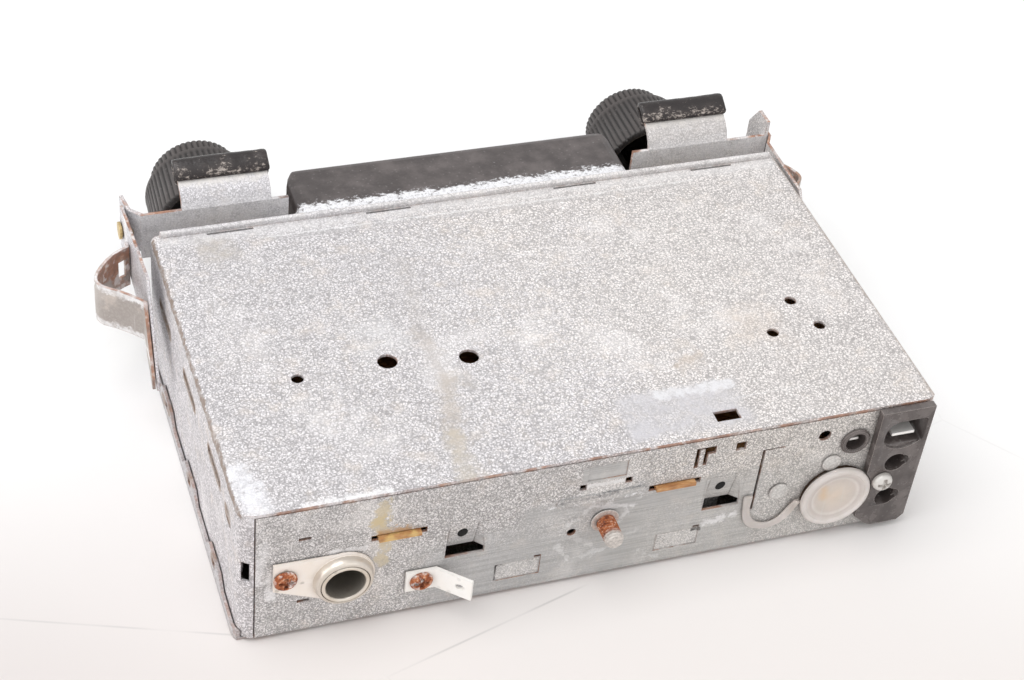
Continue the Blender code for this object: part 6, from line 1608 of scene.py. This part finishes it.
@dataclass
class RearStud:
    """The threaded stud that props the radio's back."""

    x: float = -0.0018
    z: float = 0.0208
    radius: float = 0.0025
    length: float = 0.0080
    pitch: float = 0.0008
    root: float = 0.0040
    flange_radius: float = 0.0037
    flange_height: float = 0.0004

    def build(self) -> None:
        """Cuts the thread as a helix.

        The radius at height y and angle a is R - t |2 frac(y/p + a/2pi) - 1|, run out at both ends.
        """
        seat, flange = -FIT_GAP, self.flange_radius
        top = seat - self.flange_height
        run = np.linspace(top, -self.length, 84)
        profile = [(0, self.root), (self.radius, self.root), (self.radius, seat),
                   (flange - 0.0001, seat), (flange, seat - 0.0001), (flange, top + 0.0002),
                   (flange - 0.0002, top)]
        start = len(profile)
        profile += [(self.radius, float(depth)) for depth in run]
        profile += [(self.radius * 0.72, -self.length), (0, -self.length)]
        given = np.array(profile)

        def thread(angle: np.ndarray, number: np.ndarray) -> np.ndarray:
            """The cut of the thread at each angle and profile point."""
            depth = given[number, 1]
            turn = depth / self.pitch + angle / (2 * math.pi)
            inside = (number > start) & (number < start + len(run) - 1)
            fade = np.clip((depth + self.length) / 0.0008, 0, 1)
            end = 0.0005 * (1 - fade) * (number >= start) * (number < start + len(run))
            return -0.00042 * np.abs(2 * (turn - np.floor(turn)) - 1) * inside * fade - end

        made = turned_surface("rear_stud_threaded", profile, self.x, self.z, 48, thread, 60.0)
        hand_over(made, STUD_RUST, Body.CASE, "rusty_steel", "rear_stud")


@dataclass
class AerialSocket:
    """The aerial socket's plate, tube, insulator and contact, and its screw."""

    x: float = 0.0650
    z: float = 0.0185
    tube_radius: float = 0.0060
    bore_radius: float = 0.0049
    reach: float = 0.0038
    inside: float = 0.0150
    collar_radius: float = 0.0075
    collar_foot: float = 0.0009
    collar_rise: float = 0.0026
    gap: float = 0.0004

    def build(self) -> None:
        """Turns the tube with its rolled lip and the pressed collar, and dresses the rest."""
        half = (self.tube_radius - self.bore_radius) / 2
        middle, edge = self.bore_radius + half, half - self.reach
        roll = [(middle + half * math.cos(a), edge - half * math.sin(a))
                for a in np.radians(np.linspace(180, 0, 9))]
        profile = [(self.bore_radius, self.inside), *roll, (self.tube_radius, self.inside)]
        tube = turned_surface("aerial_tube_rolled", profile, self.x, self.z, 96)
        hand_over(tube, TUBE_TIN, Body.CASE, "tinned_brass", "aerial_tube")
        base, foot, rise = self.tube_radius, -self.collar_foot, self.collar_rise
        width = self.collar_radius - base - self.gap
        shoulder = [(base + self.gap + width * math.cos(a), foot - rise * math.sin(a))
                    for a in np.radians(np.linspace(0, 90, 9))]
        profile = [(base + 0.0001, foot), *shoulder, (base + 0.0002, foot - rise - 0.0001),
                   (base + 0.0001, foot - rise)]
        collar = turned_surface("aerial_collar_pressed", profile, self.x, self.z, 96, sharp=60.0)
        hand_over(collar, COLLAR_TIN, Body.CASE, "tinned_brass")
        softened_copy("aerial_plate", CREAM_TIN, "tinned_brass")
        dress_nodes(PALE_TIN, "aerial_contact")
        dress_nodes(BROWN_PLASTIC, "aerial_insulator")
        PanScrew("aerial_screw", SCREW_RUST, "rusty_steel").build()


@dataclass
class EarthLug:
    """The bent spade lug and its rusty screw."""

    def build(self) -> None:
        """Softens the lug and shapes its screw."""
        softened_copy("earth_lug", LUG_TIN, "tinned_brass")
        PanScrew("earth_screw", SCREW_RUST, "rusty_steel").build()


@dataclass
class ConnectorBlock:
    """The black connector block, its blade, its screw and the small socket beside it."""

    socket_x: float = -0.0681
    socket_z: float = 0.0333
    socket_radius: float = 0.0040
    bore_radius: float = 0.0027
    proud: float = 0.0008
    deep: float = 0.0090
    screw_height: float = 0.00221

    def build(self) -> None:
        """Softens the block, shapes its screw and turns the socket."""
        softened_copy("connector_block", BLOCK_PLASTIC, "black_plastic")
        dress_nodes(BRIGHT_BLADE, "power_blade", "socket_pin")
        low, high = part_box("connector_screw")
        PanScrew("connector_screw", BRIGHT_SCREW, "plated_steel", self.screw_height,
                 (high.x - low.x) / 2, self.screw_height).build()
        radius, bore, seat = self.socket_radius, self.bore_radius, -FIT_GAP
        neck, face = radius - self.proud, seat - self.proud
        profile = [(0, self.deep - SHEET), (bore, self.deep - SHEET), (bore, face + 0.0003),
                   (bore + 0.0003, face), (radius - 0.0004, face), (radius, face + 0.0004),
                   (radius, seat), (neck, seat), (neck, self.deep), (0, self.deep)]
        socket = turned_surface("panel_socket_turned", profile, self.socket_x, self.socket_z, 72)
        hand_over(socket, BLOCK_PLASTIC, Body.CASE, "black_plastic", "panel_socket")


@dataclass
class Trimmer:
    """The trimmer under its tethered cap, and the two panel rivets."""

    x: float = -0.0655
    z: float = 0.0155
    cap_radius: float = 0.0097
    seat: float = 0.0012
    thick: float = 0.0010
    bead: float = 0.0006
    bead_width: float = 0.0016
    spigot: float = 0.0067
    spigot_wall: float = 0.0010
    spigot_depth: float = 0.0022
    strap_width: float = 0.0022
    strap_thick: float = 0.0007
    strap_lift: float = 0.0006
    strap_route: tuple[Span, ...] = (
        (-0.0408, 0.0200), (-0.0408, 0.0170), (-0.0411, 0.0135), (-0.0428, 0.0094),
        (-0.0478, 0.0074), (-0.0520, 0.0094), (-0.0538, 0.0130), (-0.0553, 0.0156))

    def build(self) -> None:
        """Turns the cap with a round bead and a shallow dish, and dresses the rest."""
        seat, face = -self.seat, -self.seat - self.thick
        half, inner = self.bead_width / 2, self.cap_radius - self.bead_width
        bore = self.spigot - self.spigot_wall
        crown = [(inner + half + half * math.cos(a), face - self.bead * math.sin(a))
                 for a in np.radians(np.linspace(10, 170, 11))]
        profile = [(0, seat), (bore, seat), (bore, self.spigot_depth),
                   (self.spigot, self.spigot_depth), (self.spigot, seat),
                   (self.cap_radius - 0.0002, seat), (self.cap_radius, seat - 0.0003),
                   *crown, (inner - 0.0006, face), (inner - 0.0016, face + 0.0001),
                   (inner - 0.0021, face + 0.0003), (inner * 0.5, face + 0.00034),
                   (0.0012, face + 0.00036), (0.0006, face + 0.0002), (0, face + 0.0002)]
        cap = turned_surface("trimmer_cap_beaded", profile, self.x, self.z, 96, sharp=55.0)
        hand_over(cap, CAP_MILKY, Body.CAP, "polythene", "trimmer_cap")
        self.build_strap()
        dress_nodes(BROWN_PLASTIC, "trimmer_cup")
        dress_nodes(DULL_BRASS, "trimmer_screw")
        for number in (1, 2):
            softened_copy(f"panel_rivet_{number}", ZINC_RIVET, sharp=50.0)

    def build_strap(self) -> None:
        """Carries a flat rounded section along the strap's route.

        The route's corners are cut four times; the section's point at angle a is
        (w/2 |cos a|^0.5, t/2 |sin a|^0.5) with the signs of cosine and sine, and it lifts off the
        panel by 0.6 mm times the fourth power of the share of length, to meet the cap.
        """
        route = np.array(self.strap_route)
        for _ in range(4):
            corners = 0.75 * route[:-1] + 0.25 * route[1:], 0.25 * route[:-1] + 0.75 * route[1:]
            route = np.concatenate([route[:1], np.stack(corners, 1).reshape(-1, 2), route[-1:]])
        run = np.gradient(route, axis=0)
        run /= np.linalg.norm(run, axis=1, keepdims=True)
        aside = np.stack([-run[:, 1], run[:, 0]], -1)
        share = np.linspace(0, 1, len(route))
        angle = np.linspace(0, 2 * math.pi, 20, endpoint=False)
        wide, thick = (np.sign(turn) * np.abs(turn) ** 0.5 * size / 2 for turn, size in (
            (np.cos(angle), self.strap_width), (np.sin(angle), self.strap_thick)))
        spread = 1 + 0.10 * np.sin(share * 19)
        flat = route[:, None] + aside[:, None] * (wide[None, :] * spread[:, None])[..., None]
        lift = FIT_GAP + self.strap_thick / 2 + self.strap_lift * share ** 4
        y = at(0) + lift[:, None] + thick[None, :]
        made = lofted("cap_strap_moulded", np.stack([flat[..., 0], y, flat[..., 1]], -1), 60.0)
        hand_over(made, STRAP_MILKY, Body.CASE, "polythene", "cap_strap")


@dataclass
class Front:
    """The nosepiece with its dial, pointer, lamp and push buttons."""

    ticks: int = 41
    tick_width: float = 0.00036
    scale_x: float = 0.0360
    dial_z: float = 0.0298
    number_rise: float = 0.0028
    number_size: float = 0.0035
    numbers: tuple[tuple[str, float], ...] = (
        ("54", -0.92), ("60", -0.62), ("70", -0.28), ("85", 0.06), ("110", 0.42), ("160", 0.88))

    def tick_marks(self, y: float) -> bpy.types.Object:
        """A row of thin printed marks as shallow blocks.

        Each mark is the unit block scaled to its width, depth and height and set at its x.

        Args:
            y: The face of the dial.

        Returns:
            One mesh of all the marks.
        """
        tall = np.where(np.arange(self.ticks) % 5 == 0, 0.0030, 0.0017)
        unit = np.array([(a, b, c) for a in (-1, 1) for b in (0, 1) for c in (-1, 1)], float)
        size = np.stack([np.full(self.ticks, self.tick_width / 2), np.full(self.ticks, -0.00004),
                         tall / 2], -1)
        points = unit[None] * size[:, None]
        points[..., 0] += np.linspace(-self.scale_x, self.scale_x, self.ticks)[:, None]
        points[..., 1] += y
        points[..., 2] += self.dial_z - 0.0002
        corners = np.array([(0, 1, 3, 2), (4, 6, 7, 5), (0, 4, 5, 1), (2, 3, 7, 6), (0, 2, 6, 4),
                            (1, 5, 7, 3)])
        faces = (corners[None] + 8 * np.arange(self.ticks)[:, None, None]).reshape(-1, 4).tolist()
        return finish_mesh("dial_marks", points, faces)

    def number(self, text: str, x: float, y: float) -> bpy.types.Object:
        """One plain number on the dial.

        Args:
            text: The number.
            x: Its middle sideways.
            y: The face of the dial.

        Returns:
            A thin mesh of the number.
        """
        name = f"dial_number_{text}"
        curve = bpy.data.curves.new(name, "FONT")
        curve.body, curve.size, curve.extrude = text, self.number_size, 0.00002
        curve.align_x, curve.align_y = "CENTER", "CENTER"
        letters = linked(f"{name}_curve", curve)
        bpy.context.view_layer.update()
        mesh = bpy.data.meshes.new_from_object(letters)
        mesh.name = name
        mesh.transform(Matrix.Translation((x, y - 0.00003, self.dial_z + self.number_rise))
                       @ Matrix.Rotation(math.pi / 2, 4, "X"))
        bpy.data.objects.remove(letters)
        return linked(name, mesh)

    def build(self) -> None:
        """Softens the moulding and dresses the dial and the keys."""
        softened_copy("nosepiece", NOSE_PLASTIC, "black_moulding", 30.0)
        dress_nodes(KEY_PLASTIC, *(f"push_button_{number}" for number in range(1, 6)))
        dress_nodes(LENS_CLEAR, "dial_lens", "dial_lamp")
        dress_nodes(DIAL_BLACK, "dial_scale")
        dress_nodes(POINTER_RED, "dial_pointer")
        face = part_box("dial_scale")[0].y
        hand_over(self.tick_marks(face), DIAL_INK, Body.CASE, "dial_print")
        for text, share in self.numbers:
            made = self.number(text, share * self.scale_x, face)
            hand_over(made, DIAL_INK, Body.CASE, "dial_print")


@dataclass
class Studio:
    """The pale floor, the soft lights and the camera."""

    place: Place = (0.1626, REAR_Y + 0.3136, 0.3875)
    forward: Place = (-0.29438, -0.68921, -0.66206)
    right: Place = (-0.94444, 0.31576, 0.09124)
    lens: float = 72.2
    floor_size: float = 6.0
    floor_steps: int = 9
    sky: float = 0.70
    lamps: tuple[tuple[str, Place, float, float], ...] = (
        ("key", (0.55, 0.10, 1.45), 1.1, 10.5), ("side", (1.30, 0.10, 0.55), 0.8, 3.8),
        ("fill", (-0.6, 1.2, 0.9), 1.2, 3.0))

    def floor(self) -> None:
        """A large flat floor just under the part."""
        half = self.floor_size / 2
        side = np.linspace(-half, half, self.floor_steps)
        grid = np.stack(np.meshgrid(side, side, indexing="ij"), -1).reshape(-1, 2)
        points = np.concatenate([grid, np.full((len(grid), 1), -0.0001)], 1)
        mesh = bpy.data.meshes.new("studio_floor")
        mesh.from_pydata(points.tolist(), [], grid_faces(self.floor_steps, self.floor_steps))
        floor = linked("studio_floor", mesh)
        dress(floor, StudioFloor())

    def light(self) -> None:
        """An even white sky and three large soft lamps."""
        world = bpy.data.worlds.new("studio_sky")
        world.use_nodes = True
        background = world.node_tree.nodes["Background"]
        graph = Graph(world.node_tree)
        path = graph.node("LightPath")
        seen = graph.math("MAXIMUM", path.outputs["Is Camera Ray"],
                          graph.times(path.outputs["Is Glossy Ray"], 0.9))
        background.inputs["Color"].default_value = (1.0, 1.0, 1.0, 1.0)
        graph.feed(background.inputs["Strength"], graph.blend(seen, self.sky, 1.0))
        bpy.context.scene.world = world
        for name, place, size, power in self.lamps:
            data = bpy.data.lights.new(f"{name}_lamp", "AREA")
            data.size, data.energy = size, power
            lamp = linked(f"{name}_lamp", data)
            lamp.location = place
            lamp.rotation_euler = (-Vector(place)).to_track_quat("-Z", "Y").to_euler()

    def camera(self) -> None:
        """The camera at the photograph's place and angle."""
        ahead = Vector(self.forward).normalized()
        right = Vector(self.right)
        right = (right - ahead * right.dot(ahead)).normalized()
        data = bpy.data.cameras.new("view")
        data.lens, data.sensor_width, data.sensor_fit = self.lens, 36.0, "HORIZONTAL"
        data.clip_start, data.clip_end = 0.01, 20.0
        camera = linked("view", data)
        camera.matrix_world = Matrix.Translation(self.place) @ Matrix(
            (right, right.cross(ahead), -ahead)).transposed().to_4x4()
        bpy.context.scene.camera = camera

    def build(self) -> None:
        """Sets the stage and the plain view transform."""
        self.floor()
        self.light()
        self.camera()
        bpy.context.scene.view_settings.view_transform = "Standard"


def main() -> None:
    """Builds every sub-assembly in order."""
    logging.basicConfig(level=logging.INFO, format="%(name)s: %(message)s")
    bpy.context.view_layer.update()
    for unit in (Studio(), Case(), Bracket(-1, "left"), Bracket(1, "right"), ShaftLine(),
                 KnobPair(-1, "tone_ring", "volume_knob", Body.TONE, Body.VOLUME),
                 KnobPair(1, "fader_ring", "tuning_knob", Body.FADER, Body.TUNING), RearStud(),
                 AerialSocket(), EarthLug(), ConnectorBlock(), Trimmer(), Front()):
        unit.build()


if __name__ == "__main__":
    main()
